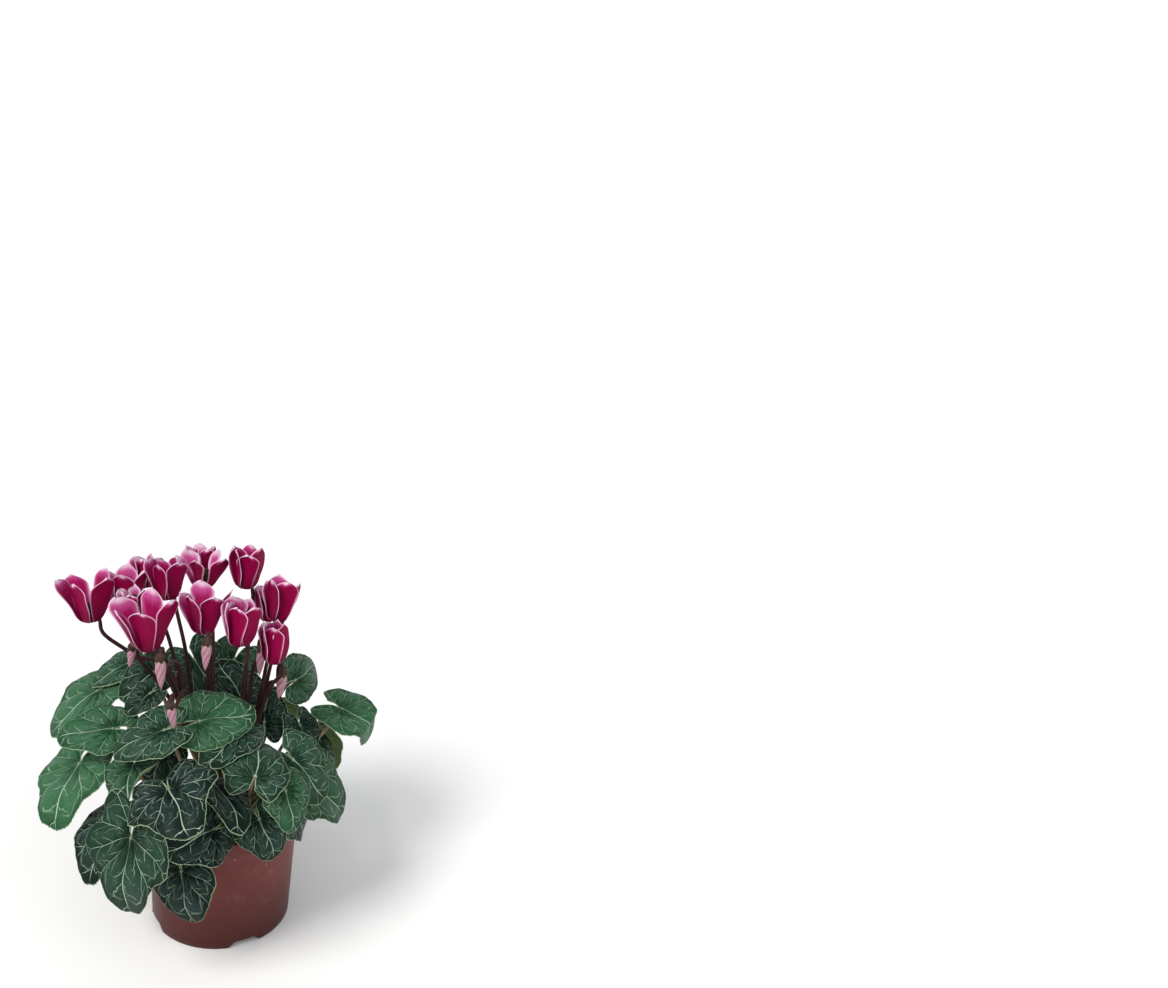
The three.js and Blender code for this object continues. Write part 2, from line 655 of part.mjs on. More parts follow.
// Colours and finishes
const FINISHES = {
  pot: { color: 0x8a4b42, roughness: 0.45, metalness: 0 },
  soil: { color: 0x2e211a, roughness: 1, metalness: 0 },
  crown: { color: 0x4a2630, roughness: 0.55, metalness: 0 },
  leaf: { color: 0x2f5a3c, roughness: 0.42, metalness: 0 },
  flower: { color: 0xa80f52, roughness: 0.5, metalness: 0 },
  bud: { color: 0xd98fae, roughness: 0.5, metalness: 0 },
};

const group = new THREE.Group();
group.name = "potted_cyclamen";

function place(name, finish, solid) {
  const mesh = new THREE.Mesh(geometryOf(mainBody(solid)), new THREE.MeshStandardMaterial(FINISHES[finish]));
  mesh.name = name;
  group.add(mesh);
}

const numbered = (word, index) => `${word}_${String(index + 1).padStart(2, "0")}`;

place("pot", "pot", potSolid());
place("soil", "soil", soilSolid());
place("crown", "crown", crownSolid());
allLeaves().forEach((leaf, index) => place(numbered("leaf", index), "leaf", leafSolid(leaf)));
allFlowers().forEach((flower, index) => place(numbered("flower", index), "flower", flowerSolid(flower)));
allBuds().forEach((bud, index) => place(numbered("bud", index), "bud", budSolid(bud)));

export default group;
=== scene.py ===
"""Potted cyclamen: the finished surfaces of the plant, its soil and its pot, and a plain studio stage.

Every length in the tables and in the surface functions is in millimetres, +Z up, with the origin in the
middle of the pot's underside. A mesh is turned into metres when it is put into the scene.
"""

from collections import namedtuple

import bpy
import numpy as np
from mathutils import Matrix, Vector


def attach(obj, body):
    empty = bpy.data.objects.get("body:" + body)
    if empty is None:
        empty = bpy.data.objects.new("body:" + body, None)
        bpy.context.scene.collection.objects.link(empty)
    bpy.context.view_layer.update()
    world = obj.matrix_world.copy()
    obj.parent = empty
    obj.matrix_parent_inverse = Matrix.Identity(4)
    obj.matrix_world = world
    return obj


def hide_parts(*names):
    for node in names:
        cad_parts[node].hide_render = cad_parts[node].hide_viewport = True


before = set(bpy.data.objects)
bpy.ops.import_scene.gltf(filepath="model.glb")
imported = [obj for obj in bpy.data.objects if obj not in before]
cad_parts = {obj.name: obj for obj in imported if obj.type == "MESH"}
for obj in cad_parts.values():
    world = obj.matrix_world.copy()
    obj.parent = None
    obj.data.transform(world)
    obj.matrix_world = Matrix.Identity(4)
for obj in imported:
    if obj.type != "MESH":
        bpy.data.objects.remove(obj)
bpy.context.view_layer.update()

bl_info = {
    "name": "Potted Cyclamen",
    "version": (1, 0, 0),
    "blender": (4, 5, 0),
    "location": "View3D > Sidebar > Cyclamen",
    "description": "Makes the leaves, flowers, buds, stems, soil and pot of a potted cyclamen",
    "category": "Object",
}

# The plant's own measures

Leaf = namedtuple("Leaf", "number azimuth reach level face yaw heading length width lobes droop fold tone")
Flower = namedtuple("Flower", "number mouth lean turn length flare pale")
Bud = namedtuple("Bud", "number top length radius lean")

# Leaves: azimuth, reach and level of the stalk's top, elevation and sideways turn of the face, heading of
# the tip from straight downhill, length, width, lobes, droop, and for one that folds: direction, distance
# and bend of the fold
LEAF_ROWS = (
    (147, 80, 173, 73, 76, -23, 27, 0.9, 0.2, 0.18),
    (159, 92, 158, 66, 48, -3, 40, 0.95, 0.5, 0.16),
    (-171, 73, 155, 66, 90, -95, 34, 0.9, 0.3, 0.16),
    (154, 55, 177, 55, 101, -41, 27, 1, 0, 0.14),
    (-127, 63, 178, 60, 5, -48, 35, 0.85, 0.14, 0.14),
    (-112, 47.5, 180, 55, 17, 107, 36, 0.92, 0, 0.2),
    (-79, 40, 170, 71, 51, -92, 36, 0.75, 0, 0.16),
    (-177, 94, 125, 56, 20, 33, 44, 1.05, 0.4, 0.14),
    (-140, 74, 151, 78, 2, 35, 32, 0.8, 0.4, 0.22, 60, 0.3, -80),
    (-111, 94, 160, 65, -44, 81, 38, 1.12, 1, 0.16),
    (-120, 109, 130, 17, -1, 0, 54, 0.8, 1, 0.14),
    (-152, 83, 102, 61, -6, 41, 38, 0.85, 0.4, 0.2),
    (-94, 81, 124, 32, 70, -107, 37, 0.9, 0.5, 0.24),
    (-95, 67, 146.5, 63, 125, -89, 38, 0.9, 0.4, 0.2),
    (-108, 82, 91, 14, -6, 14, 38, 0.9, 0.5, 0.16),
    (-72, 70, 121, 22, -10, 20, 32, 0.9, 0.5, 0.24),
    (-60, 75, 141, 38, -7, 3, 27, 0.9, 0.6, 0.24),
    (-76, 74, 156, 62, 4, 153, 32, 1.05, 0.4, 0.24),
    (-41, 56, 146, 46, -13, 25, 36, 1, 0.3, 0.18),
    (-27, 59, 125, 44, -15, 30, 43, 0.95, 0.7, 0.16),
    (20, 83, 145, 76, -74, 29, 40, 0.9, 0.2, 0.2, 0, 0.55, 50),
    (43, 62, 160, 30, -83, 90, 32, 0.9, 0, 0.16),
    (41, 33, 138, 46, -132, 178, 31, 0.82, 0.3, 0.16),
    (-44, 60, 111, 22, 11, 30, 34, 0.85, 0.4, 0.24),
    (24, 54, 136, 44, -71, -6, 26.5, 0.9, 0.2, 0.16),
    (2, 71, 110, 31, -10, 14, 26, 0.85, 0.7, 0.2),
    (30, 75, 113, 45, -43, -30, 27, 0.8, 0.4, 0.22),
    (41, 87, 113, 26, 2, -11, 38, 0.9, 0.1, 0.22),
    (66, 85, 121, 35, 1, 12, 38, 0.9, 0.4, 0.22),
    (91, 86, 112, 26, -1, -9, 38, 0.9, 0.6, 0.22),
    (118, 85, 112, 26, -2, -4, 38, 0.9, 0, 0.22),
    (159, 86, 122, 34, 1, 2, 38, 0.9, 0.5, 0.22),
    (87, 63, 166, 50, 170, -20, 36, 0.9, 0, 0.16),
    (112, 65, 167, 56, 158, 31, 38, 0.9, 0.3, 0.16),
    (-146, 47, 149, 37, 46, -12, 25, 1, 0.1, 0.14),
    (69, 25, 156, 37, -150, -156, 32, 0.9, 0.1, 0.16),
    (178, 50, 174, 54, 80, -43, 20, 0.85, 0.1, 0.12),
)

# How bright each leaf is, from a deep blue-green at 0 to a fresh green at 1
LEAF_TONES = (
    0.45, 0.95, 0.85, 0.12, 0.3, 0.75, 0.15, 1, 0.55, 0, 0.22, 0.05, 0, 0, 0.02, 0.12, 0.65,
    0.25, 0.35, 0.6, 0.95, 0.5, 0.05, 0.05, 0.15, 0.4, 0.3, 0.2, 0.5, 0.3, 0.4, 0.2, 0.35, 0.25,
    0.05, 0.05, 0.1,
)

# Flowers: mouth, lean to +X and +Y in degrees, turn, length of the petals and how far they flare
FLOWER_ROWS = (
    (-86, -5, 231, -6, 6, 10, 32, 4),
    (-67, 14, 226, -4, 8, 40, 32, 0),
    (-57, 46, 231, 0, 8, 20, 22, -1),
    (-41.5, 22, 234, -2, 6, 4, 29, -1.2),
    (-60, -8, 238, -8, 6, 30, 18, -1),
    (-49, -38, 228, -5, 5, 30, 36, 5),
    (-16.5, -20, 231, 0, 6, 55, 31, 4),
    (5.5, -36, 231, 2, 6, 15, 32, -2.8),
    (25, 33, 213, 0, 8, 30, 26, -1),
    (30, 2, 229, 4, 6, 50, 31, -1),
    (-19, 37, 236, 0, 8, 10, 24, 6.5),
    (9, 28, 240, 1, 8, 35, 30, -2),
    (-21, 63, 236, 0, 10, 60, 19, 0.5),
    (28, -28, 214, -2, 5, 30, 29, -4),
)

# How far the white runs into the inner face of each flower's petals, from 0 to 1
FLOWER_PALENESS = (0.25, 0.8, 0.6, 0.15, 0.9, 0.65, 0.6, 0.5, 0.7, 0.5, 1.0, 0.15, 0.9, 0.25)

# Buds: top, where the calyx is, length, radius and lean to +X in degrees
BUD_ROWS = (
    (-41, -56, 232, 22, 3.4, 2),
    (-34, -66, 205, 17, 3, 8),
    (-14, -46, 238, 20, 3.2, -2),
    (20, -9, 213, 20, 3, -2),
    (34.5, -11, 196, 20, 3.4, -6),
    (-60, -20, 220, 15, 2.6, -6),
)

MM = 1000.0  # millimetres in a metre
GAP = 0.3  # how far a leaf's stalk stands off the tuber, and a bud off its calyx
TUBER_RADIUS, TUBER_HEIGHT, TUBER_LEVEL = 22, 15, 74
STALK_SEATS, STEM_SEATS = (24, 74), (4, 62)  # angles on the tuber, from its top, in degrees
ARCH_LEVEL = 120  # the stalk of a leaf below this level rises before it comes down
THROAT_LEVEL, THROAT_HALF = 160, 38  # where the stems pass between the leaves, and half as wide as that is
MOUTH_RADIUS, TUBE_TOP = 3.6, 7  # of a flower's tube
FULL_LENGTH = 36  # the longest petals, which the other flowers are measured by
PETALS = 5
PARTING = 16  # degrees by which the petals draw away from the stem's gap
CLAW_SHARE, PETAL_BREADTH, SHOULDER = 0.02, 0.26, 0.9  # half widths and shoulder, as shares of the length
PETAL_UNLIKE, PETAL_SHORTER = 4.0, 0.12  # how much the flare and the length of a flower's petals differ
SINUS = 171  # angle from a blade's tip round to its notch, in degrees
VEIN_ANGLES = (-148, -110, -72, -36, 0, 36, 72, 110, 148)
LOOSE_TURN = 6.3  # spreads a phase over the whole wave, and a little past it

PICTURE_WIDE, PICTURE_TALL = 1168, 988
FOCAL_PIXELS = 1320
POT_MIDDLE, POT_PIXEL = (0, 0, 0.045), (223, 853)  # in metres, and where it lies in the picture


def spread(number, use):
    """A number from 0 to 1 that depends only on a piece's place in its list and on what it is for."""
    x = np.sin(number * 12.9898 + use * 78.233) * 43758.5453
    return x - np.floor(x)


def all_leaves():
    """Every leaf with its brightness."""
    return [
        Leaf(k, *row[:10], row[10:] or None, LEAF_TONES[k])
        for k, row in enumerate(LEAF_ROWS)
    ]


def all_flowers():
    """Every flower with its paleness."""
    return [
        Flower(k, np.array(row[:3], float), row[3:5], row[5], row[6], row[7], FLOWER_PALENESS[k])
        for k, row in enumerate(FLOWER_ROWS)
    ]


def all_buds():
    """Every bud."""
    return [Bud(k, np.array(row[:3], float), row[3], row[4], row[5]) for k, row in enumerate(BUD_ROWS)]


# Small helpers on arrays

def unit(v):
    """Vectors of length 1, along the last axis."""
    return v / np.maximum(np.linalg.norm(v, axis=-1, keepdims=True), 1e-9)


def smoothstep(x, low, high):
    """0 below low, 1 above high, and 3t^2 - 2t^3 between them."""
    t = np.clip((x - low) / (high - low), 0, 1)
    return t * t * (3 - 2 * t)


def ripple(points, scale, seed):
    """A smooth lump field from -1 to 1: the mean of six sine waves that run in fixed, uneven directions."""
    turns = spread(np.arange(6), seed)[:, None] * 2 * np.pi
    rise = spread(np.arange(6), seed + 1)[:, None] * 2 - 1
    way = np.concatenate([np.cos(turns), np.sin(turns), rise], axis=1)
    phase = spread(np.arange(6), seed + 2) * 2 * np.pi
    stretch = 0.6 + spread(np.arange(6), seed + 3)
    return np.sin(points @ (way * stretch[:, None]).T * (2 * np.pi / scale) + phase).mean(axis=-1) * 1.6


def grid_normals(points):
    """Unit normals of a grid: the cross product of its two directions, or a mean one where that is zero."""
    along = np.gradient(points, axis=0)
    across = np.gradient(points, axis=1)
    normal = np.cross(along, across)
    flat = np.linalg.norm(normal, axis=-1, keepdims=True) < 1e-7
    filler = unit(normal[1:-1].mean(axis=(0, 1)))
    return unit(np.where(flat, filler, normal))


def set_in(local, base, *ways):
    """Local points put in the part: from the base, each of their numbers goes along its own direction."""
    for k, way in enumerate(ways):
        base = base + local[..., k:k + 1] * way
    return base


def tube(path, radius, sides):
    """A round tube along a path: circles square to the path's direction, with ends drawn to a point.

    The circles' first direction is the path's direction crossed with a fixed one: of a fan of directions,
    the one that stays furthest from the path's."""
    path = np.asarray(path, float)
    ahead = unit(np.gradient(path, axis=0))
    turn = np.linspace(0, np.pi, 9)[:-1]
    fan = np.stack([np.cos(turn), np.sin(turn), 0.15 + 0 * turn], axis=1)
    nearest = np.linalg.norm(np.cross(ahead[:, None], fan[None]), axis=-1).min(axis=0)
    first = unit(np.cross(ahead, fan[nearest.argmax()]))
    second = np.cross(ahead, first)
    turn = np.linspace(0, 2 * np.pi, sides + 1)[None, :, None]
    size = np.broadcast_to(np.asarray(radius, float), (len(path),))[:, None, None]
    wall = path[:, None] + (first[:, None] * np.cos(turn) + second[:, None] * np.sin(turn)) * size
    ends = [np.broadcast_to(path[k], (1, sides + 1, 3)) for k in (0, -1)]
    return np.concatenate([ends[0], wall, ends[1]])


def turned(profile, columns, shape=None):
    """A profile of (radius, height) turned round +Z; shape(angle, radius, height) may move its points."""
    turn = np.linspace(0, 2 * np.pi, columns + 1)[None]
    radius, height = (np.asarray(profile, float)[:, k, None] + 0 * turn for k in (0, 1))
    if shape:
        radius, height = shape(turn, radius, height)
    return np.stack([radius * np.cos(turn), radius * np.sin(turn), height], axis=-1)


def ball(rows, columns):
    """A ball of radius 1: a half circle turned round +Z."""
    polar = np.linspace(0, np.pi, rows)
    return turned(np.stack([np.sin(polar), np.cos(polar)], axis=1), columns)


def softened(profile):
    """A profile with its corners cut twice: each side keeps the points a fifth from its ends."""
    line = np.asarray(profile, float)
    for _ in range(2):
        a, b = line[:-1], line[1:]
        cut = np.stack([0.8 * a + 0.2 * b, 0.2 * a + 0.8 * b], axis=1).reshape(-1, 2)
        line = np.concatenate([line[:1], cut, line[-1:]])
    return line


class Skin:
    """Gathers grids into one mesh. Points that meet are welded, which closes seams, poles and rims."""

    def __init__(self, *marks):
        self.points = []
        self.quads = []
        self.slots = []
        self.marks = {name: [] for name in marks}
        self.count = 0

    def add(self, points, slot=0, flip=False, **marks):
        """One grid of rows by columns; flip turns its faces the other way."""
        rows, columns = points.shape[:2]
        seat = np.arange(rows * columns).reshape(rows, columns) + self.count
        corners = [seat[:-1, :-1], seat[1:, :-1], seat[1:, 1:], seat[:-1, 1:]]
        quads = np.stack(corners[::-1] if flip else corners, axis=-1).reshape(-1, 4)
        self.points.append(points.reshape(-1, 3))
        self.quads.append(quads)
        self.slots.append(np.full(len(quads), slot))
        for name, values in self.marks.items():
            value = np.broadcast_to(np.asarray(marks.get(name, 0.0), float), (rows, columns))
            values.append(value.reshape(-1))
        self.count += rows * columns

    def build(self, name, materials):
        """Welds points within a thousandth of a millimetre, drops what has no area, makes the object."""
        points = np.concatenate(self.points)
        keys = np.round(points * MM).astype(np.int64)
        _, first, home = np.unique(keys, axis=0, return_index=True, return_inverse=True)
        quads = home.reshape(-1)[np.concatenate(self.quads)]
        slots = np.concatenate(self.slots)
        same = np.stack([quads[:, k] == quads[:, (k + 1) % 4] for k in range(4)], axis=1)
        opposite = (quads[:, 0] == quads[:, 2]) | (quads[:, 1] == quads[:, 3])
        whole = ~same.any(axis=1) & ~opposite
        faces = quads[whole].tolist()
        finish = [slots[whole]]
        for k in range(4):
            pinched = same[:, k] & (same.sum(axis=1) == 1) & ~opposite
            faces += np.delete(quads[pinched], k, axis=1).tolist()
            finish.append(slots[pinched])
        mesh = bpy.data.meshes.new(name)
        mesh.from_pydata((points[first] / MM).tolist(), [], faces)
        mesh.polygons.foreach_set("material_index", np.concatenate(finish).astype(np.int32))
        mesh.polygons.foreach_set("use_smooth", np.ones(len(faces), bool))
        for mark, values in self.marks.items():
            layer = mesh.attributes.new(mark, "FLOAT", "POINT")
            layer.data.foreach_set("value", np.concatenate(values)[first].astype(np.float32))
        for material in materials:
            mesh.materials.append(material)
        mesh.update()
        piece = bpy.data.objects.new(name, mesh)
        bpy.context.scene.collection.objects.link(piece)
        return piece


def settle(piece, node):
    """Puts a finished piece in the part: it rides on the plant's one body and stands for its node."""
    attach(piece, "root")
    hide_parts(node)


def settle_all(skins, finishes, piece, node):
    """Builds and settles every piece of a kind; their names end in their number, from 01."""
    for number, skin in enumerate(skins, 1):
        settle(skin.build(f"{piece}_{number:02d}", finishes), f"{node}_{number:02d}")


# Leaves

def leaf_frame(leaf):
    """Where the stalk meets the blade, and the blade's face, tip and side directions."""
    turn, rise = np.radians(leaf.azimuth + leaf.yaw), np.radians(leaf.face)
    face = np.array([np.cos(rise) * np.cos(turn), np.cos(rise) * np.sin(turn), np.sin(rise)])
    downhill = unit(np.array([0, 0, -1.0]) + face * face[2])
    heading = np.radians(leaf.heading)
    tip = downhill * np.cos(heading) + np.cross(face, downhill) * np.sin(heading)
    azimuth = np.radians(leaf.azimuth)
    stalk = np.array([leaf.reach * np.cos(azimuth), leaf.reach * np.sin(azimuth), leaf.level])
    return stalk, face, tip, np.cross(face, tip)


def leaf_edge(angle, lobes):
    """Distance from the stalk to the edge: round, with a point at the tip, scallops, and a notch behind."""
    turn = np.abs(angle)
    round_ = 0.68 - 0.17 * (turn / np.radians(160)) ** 2
    point = 0.32 * np.exp(-((turn / np.radians(36)) ** 2))
    scallop = (0.012 + 0.06 * lobes) * (np.cos(5.2 * turn) - np.exp(-4 * turn))
    back = smoothstep(turn, np.radians(142), np.radians(SINUS + 3))
    return (round_ + point + scallop) * (1 - 0.4 * back)


def blade_height(leaf, u, v):
    """Height over the blade's plane: sunk along the midrib, waved, and drooping to its edge and tip."""
    reach, angle = np.hypot(u, v), np.arctan2(v, u)
    size, phase = 0.03 + 0.04 * spread(leaf.number, 3), 2 * np.pi * spread(leaf.number, 4)
    wave = size * reach ** 3 * np.sin(3 * angle + phase)
    trough = 0.14 * (np.sqrt(v * v + 0.01) - 0.1) * np.maximum(0, 1 - 0.55 * reach)
    return trough + wave - leaf.droop * reach ** 2 - 0.12 * np.maximum(0, u) ** 3


def folded(leaf, u, v, height):
    """Past its fold line a blade rolls round a small radius and goes on straight, tilted by the bend."""
    if leaf.fold is None:
        return np.stack([u, v, height], axis=-1)
    direction, distance, bend = leaf.fold
    mx, my = np.cos(np.radians(direction)), np.sin(np.radians(direction))
    past = np.maximum(0, u * mx + v * my - distance)
    radius, whole, sign = 0.16, abs(np.radians(bend)), np.sign(bend)
    curved = np.minimum(past, radius * whole)
    bent = curved / radius
    along = radius * np.sin(bent) + (past - curved) * np.cos(whole) + height * sign * np.sin(bent)
    down = radius * (1 - np.cos(bent)) + (past - curved) * np.sin(whole)
    shift = along - past
    return np.stack([u + mx * shift, v + my * shift, height * np.cos(bent) - sign * down], axis=-1)


def vein_columns(steps):
    """The blade's columns: some lie on the main veins, and the rest share the way to the line midway
    between two.

    Gives each column's angle where it leaves the stalk, and its distance from its vein, from 0 to 1
    midway."""
    veins = np.array(VEIN_ANGLES, float)
    stops = np.sort(np.concatenate([veins, (veins[1:] + veins[:-1]) / 2, [-SINUS, SINUS]]))
    parts = [np.linspace(a, b, steps + 1)[:-1] for a, b in zip(stops[:-1], stops[1:])]
    angles = np.concatenate(parts + [[SINUS]])
    far = np.abs(angles[:, None] - veins[None]).min(axis=1)
    # Half the breadth of the sector between two such lines that each column lies in
    half = np.interp(np.abs(angles), [0, 18, 18.001, 54, 54.001, 91, 91.001, 129, 129.001, SINUS],
                     [18, 18, 18, 18, 19, 19, 19, 19, 21, 21])
    return np.radians(angles), np.clip(far / half, 0, 1)


def blade_fan(leaf, tooth_depth):
    """The blade as a fan of columns round the stalk. A column swings a little towards the tip as it goes
    out, by a sine of its angle, and wanders, by a sine of its share of the way. The edge is ragged by two
    sine waves, and has a tooth at every second column, which only the outermost rows reach.

    Gives each row's share of the way, each column's first angle and distance from its vein, the angle and
    reach of every point, and the reach of the edge, which is measured in lengths of the blade."""
    start, off = vein_columns(9)
    rows = np.concatenate([[0, 0.03], np.linspace(0.08, 0.9, 14), [0.935, 0.96, 0.978, 0.991, 1]])
    share = rows[:, None]
    swing = 1 - 0.13 * share * np.sin(np.pi * np.abs(start) / np.radians(SINUS))
    phase = LOOSE_TURN * spread(leaf.number, 10)
    wander = np.sin(4.5 * share + 2.3 * start[None] + phase) * np.sin(np.pi * share)
    angle = start[None] * swing + 0.085 * wander * np.cos(np.pi / 2 * start[None] / np.radians(SINUS))
    count = np.arange(len(start))
    tooth = (count % 2) * (0.5 + 0.8 * spread(count, 11 + leaf.number)) - 0.5
    tooth[[0, -1]] = 0
    ragged = (0.012 * np.sin(9 * start + LOOSE_TURN * spread(leaf.number, 8))
              + 0.008 * np.sin(23 * start + leaf.number))
    edge = leaf_edge(angle[-1], leaf.lobes) * (1 + ragged)
    reach = share * edge[None]
    reach = reach + share ** 30 * tooth[None] * tooth_depth * MM / leaf.length
    return share, start, off, angle, reach, edge


def leaf_skin(leaf, sizes):
    """One leaf. Its blade is a fan that domes between the main veins, is sunk along them by a bell curve
    of the distance from the vein, and curls at the edge. Its faces lie half the thickness to either side
    of that, which runs out to nothing at the edge. The stalk is a tube that tapers.

    The marks are the distance from the nearest main vein in millimetres, taken as longer beside the
    hindmost veins so that they look thinner; that distance as a share; the share of the way to the edge;
    the distance from the edge; and the leaf's own brightness and seed."""
    stalk, face, tip, side = leaf_frame(leaf)
    share, start, off, angle, reach, edge = blade_fan(leaf, sizes.tooth_depth)
    u, v = reach * np.cos(angle), leaf.width * reach * np.sin(angle)
    gap = reach * np.radians(19) * off[None] * leaf.length
    dome = np.sin(np.pi / 2 * off[None]) ** 1.3 * np.sin(np.pi * share ** 0.8) ** 0.8
    groove = np.exp(-((gap / (0.5 + 0.5 * (1 - share))) ** 2)) * (1 - share ** 4)
    curl = 0.02 * share ** 4 * np.sin(7 * angle + LOOSE_TURN * spread(leaf.number, 9))
    relief = (sizes.dome * dome - 0.4 * sizes.vein_depth * groove) * MM / leaf.length
    local = folded(leaf, u, v, blade_height(leaf, u, v) + relief + curl)
    middle = stalk + leaf.length * (local[..., :1] * tip + local[..., 1:2] * side + local[..., 2:] * face)
    normal = grid_normals(middle)
    if (normal[5].mean(axis=0) @ face) < 0:
        normal = -normal
    from_notch = reach * leaf.length * np.radians(SINUS) * (1 - np.abs(start[None]) / np.radians(SINUS))
    rim = np.minimum((1 - share) * edge[None] * leaf.length, np.maximum(from_notch, 0))
    thinning = 0.9
    half = 0.5 * sizes.blade * MM * np.clip(rim / thinning, 0, 1) ** 0.5
    rank = 1 + 0.35 * np.abs(start[None]) + 0.5 * (np.abs(start[None]) > 0.3)
    own = dict(tone=leaf.tone, seed=leaf.number * 7.3)
    marks = dict(vein=gap * rank, off=off[None], share=share, rim=rim, **own)
    skin = Skin("vein", "off", "share", "rim", "tone", "seed", "under")
    skin.add(middle + normal * half[..., None], 0, **marks, under=0)
    skin.add(middle - normal * half[..., None], 0, flip=True, **marks, under=1)
    steps = 40
    thick = sizes.stalk_radius * MM * (1.2 - 0.35 * np.linspace(0, 1, steps))
    climb = np.linspace(0, 1, steps + 2)[:, None]
    skin.add(tube(stalk_path(leaf, steps), thick, 12), 1, share=climb, **own)
    return skin


def tuber_seat(target, seats, margin):
    """Where a stalk or a stem leaves the tuber, whose surface is taken a margin further out: the more it
    leans, the lower on the tuber's side, between the two angles of its seats."""
    tilt = np.arctan2(np.hypot(target[0], target[1]), target[2] - TUBER_LEVEL)
    share = np.clip(tilt / np.radians(80), 0, 1)
    polar = np.radians(seats[0] + (seats[1] - seats[0]) * share)
    turn = np.arctan2(target[1], target[0])
    flat = (TUBER_RADIUS + margin) * np.sin(polar)
    level = TUBER_LEVEL + (TUBER_HEIGHT + margin) * np.cos(polar)
    return np.array([flat * np.cos(turn), flat * np.sin(turn), level])


def stalk_path(leaf, count):
    """A cubic curve from inside the tuber up and outwards, which meets the blade from beneath."""
    stalk, face, tip, _ = leaf_frame(leaf)
    seat = tuber_seat(stalk, STALK_SEATS, GAP)
    outwards = unit(seat - np.array([0, 0, TUBER_LEVEL]))
    span = np.linalg.norm(stalk - seat)
    arch = max(0, ARCH_LEVEL - leaf.level)
    start = seat + 0.25 * span * outwards + np.array([0, 0, 0.05 * span + 0.7 * arch])
    under = stalk - 0.24 * span * face - 0.03 * span * tip + np.array([0, 0, 0.6 * arch])
    sunk = 1.2
    seat = seat - sunk * outwards
    t = np.linspace(0, 1, count)[:, None]
    return (1 - t) ** 3 * seat + 3 * t * (1 - t) ** 2 * start + 3 * t * t * (1 - t) * under + t ** 3 * stalk


# Flowers

def flower_frame(flower):
    """The flower's axis, the direction of the gap where its stem comes down, and the left of that."""
    axis = unit(np.array([np.tan(np.radians(flower.lean[0])), np.tan(np.radians(flower.lean[1])), 1.0]))
    turn = np.radians(flower.turn)
    gap = np.array([np.cos(turn), np.sin(turn), 0.0])
    gap = unit(gap - axis * (gap @ axis))
    return axis, gap, np.cross(axis, gap)


def petal_line(flower, seed, t):
    """A petal's middle line, as a cubic curve: out of the tube, turned back, then standing up. Gives the
    distance from the flower's axis and along it. Each petal has its own flare and length."""
    size = flower.length / FULL_LENGTH
    flare = flower.flare + PETAL_UNLIKE * (spread(seed, 21) - 0.5)
    tip = flower.length * (1 - PETAL_SHORTER * spread(seed, 22)) - 1
    points = ((MOUTH_RADIUS - 1.8, 1.6), (6.2 + 1.7 * size, -4), (4.5 + 2.2 * size, 10.5 * size),
              (3.5 + 10 * size + flare, tip))
    weights = ((1 - t) ** 3, 3 * t * (1 - t) ** 2, 3 * t * t * (1 - t), t ** 3)
    return [sum(w * p[k] for w, p in zip(weights, points)) for k in (0, 1)]


def petal_half(flower, seed, share):
    """Half a petal's width: it widens almost evenly from its claw to its shoulder, past which it closes
    in an arch whose power differs from petal to petal."""
    past = np.clip((share - SHOULDER) / (1 - SHOULDER), 0, 1)
    arch = (1 - past ** (1.5 + 0.7 * spread(seed, 24))) ** 0.62
    widening = np.minimum(1, share / SHOULDER) ** 1.08
    return (CLAW_SHARE + (PETAL_BREADTH - CLAW_SHARE) * widening) * flower.length * arch


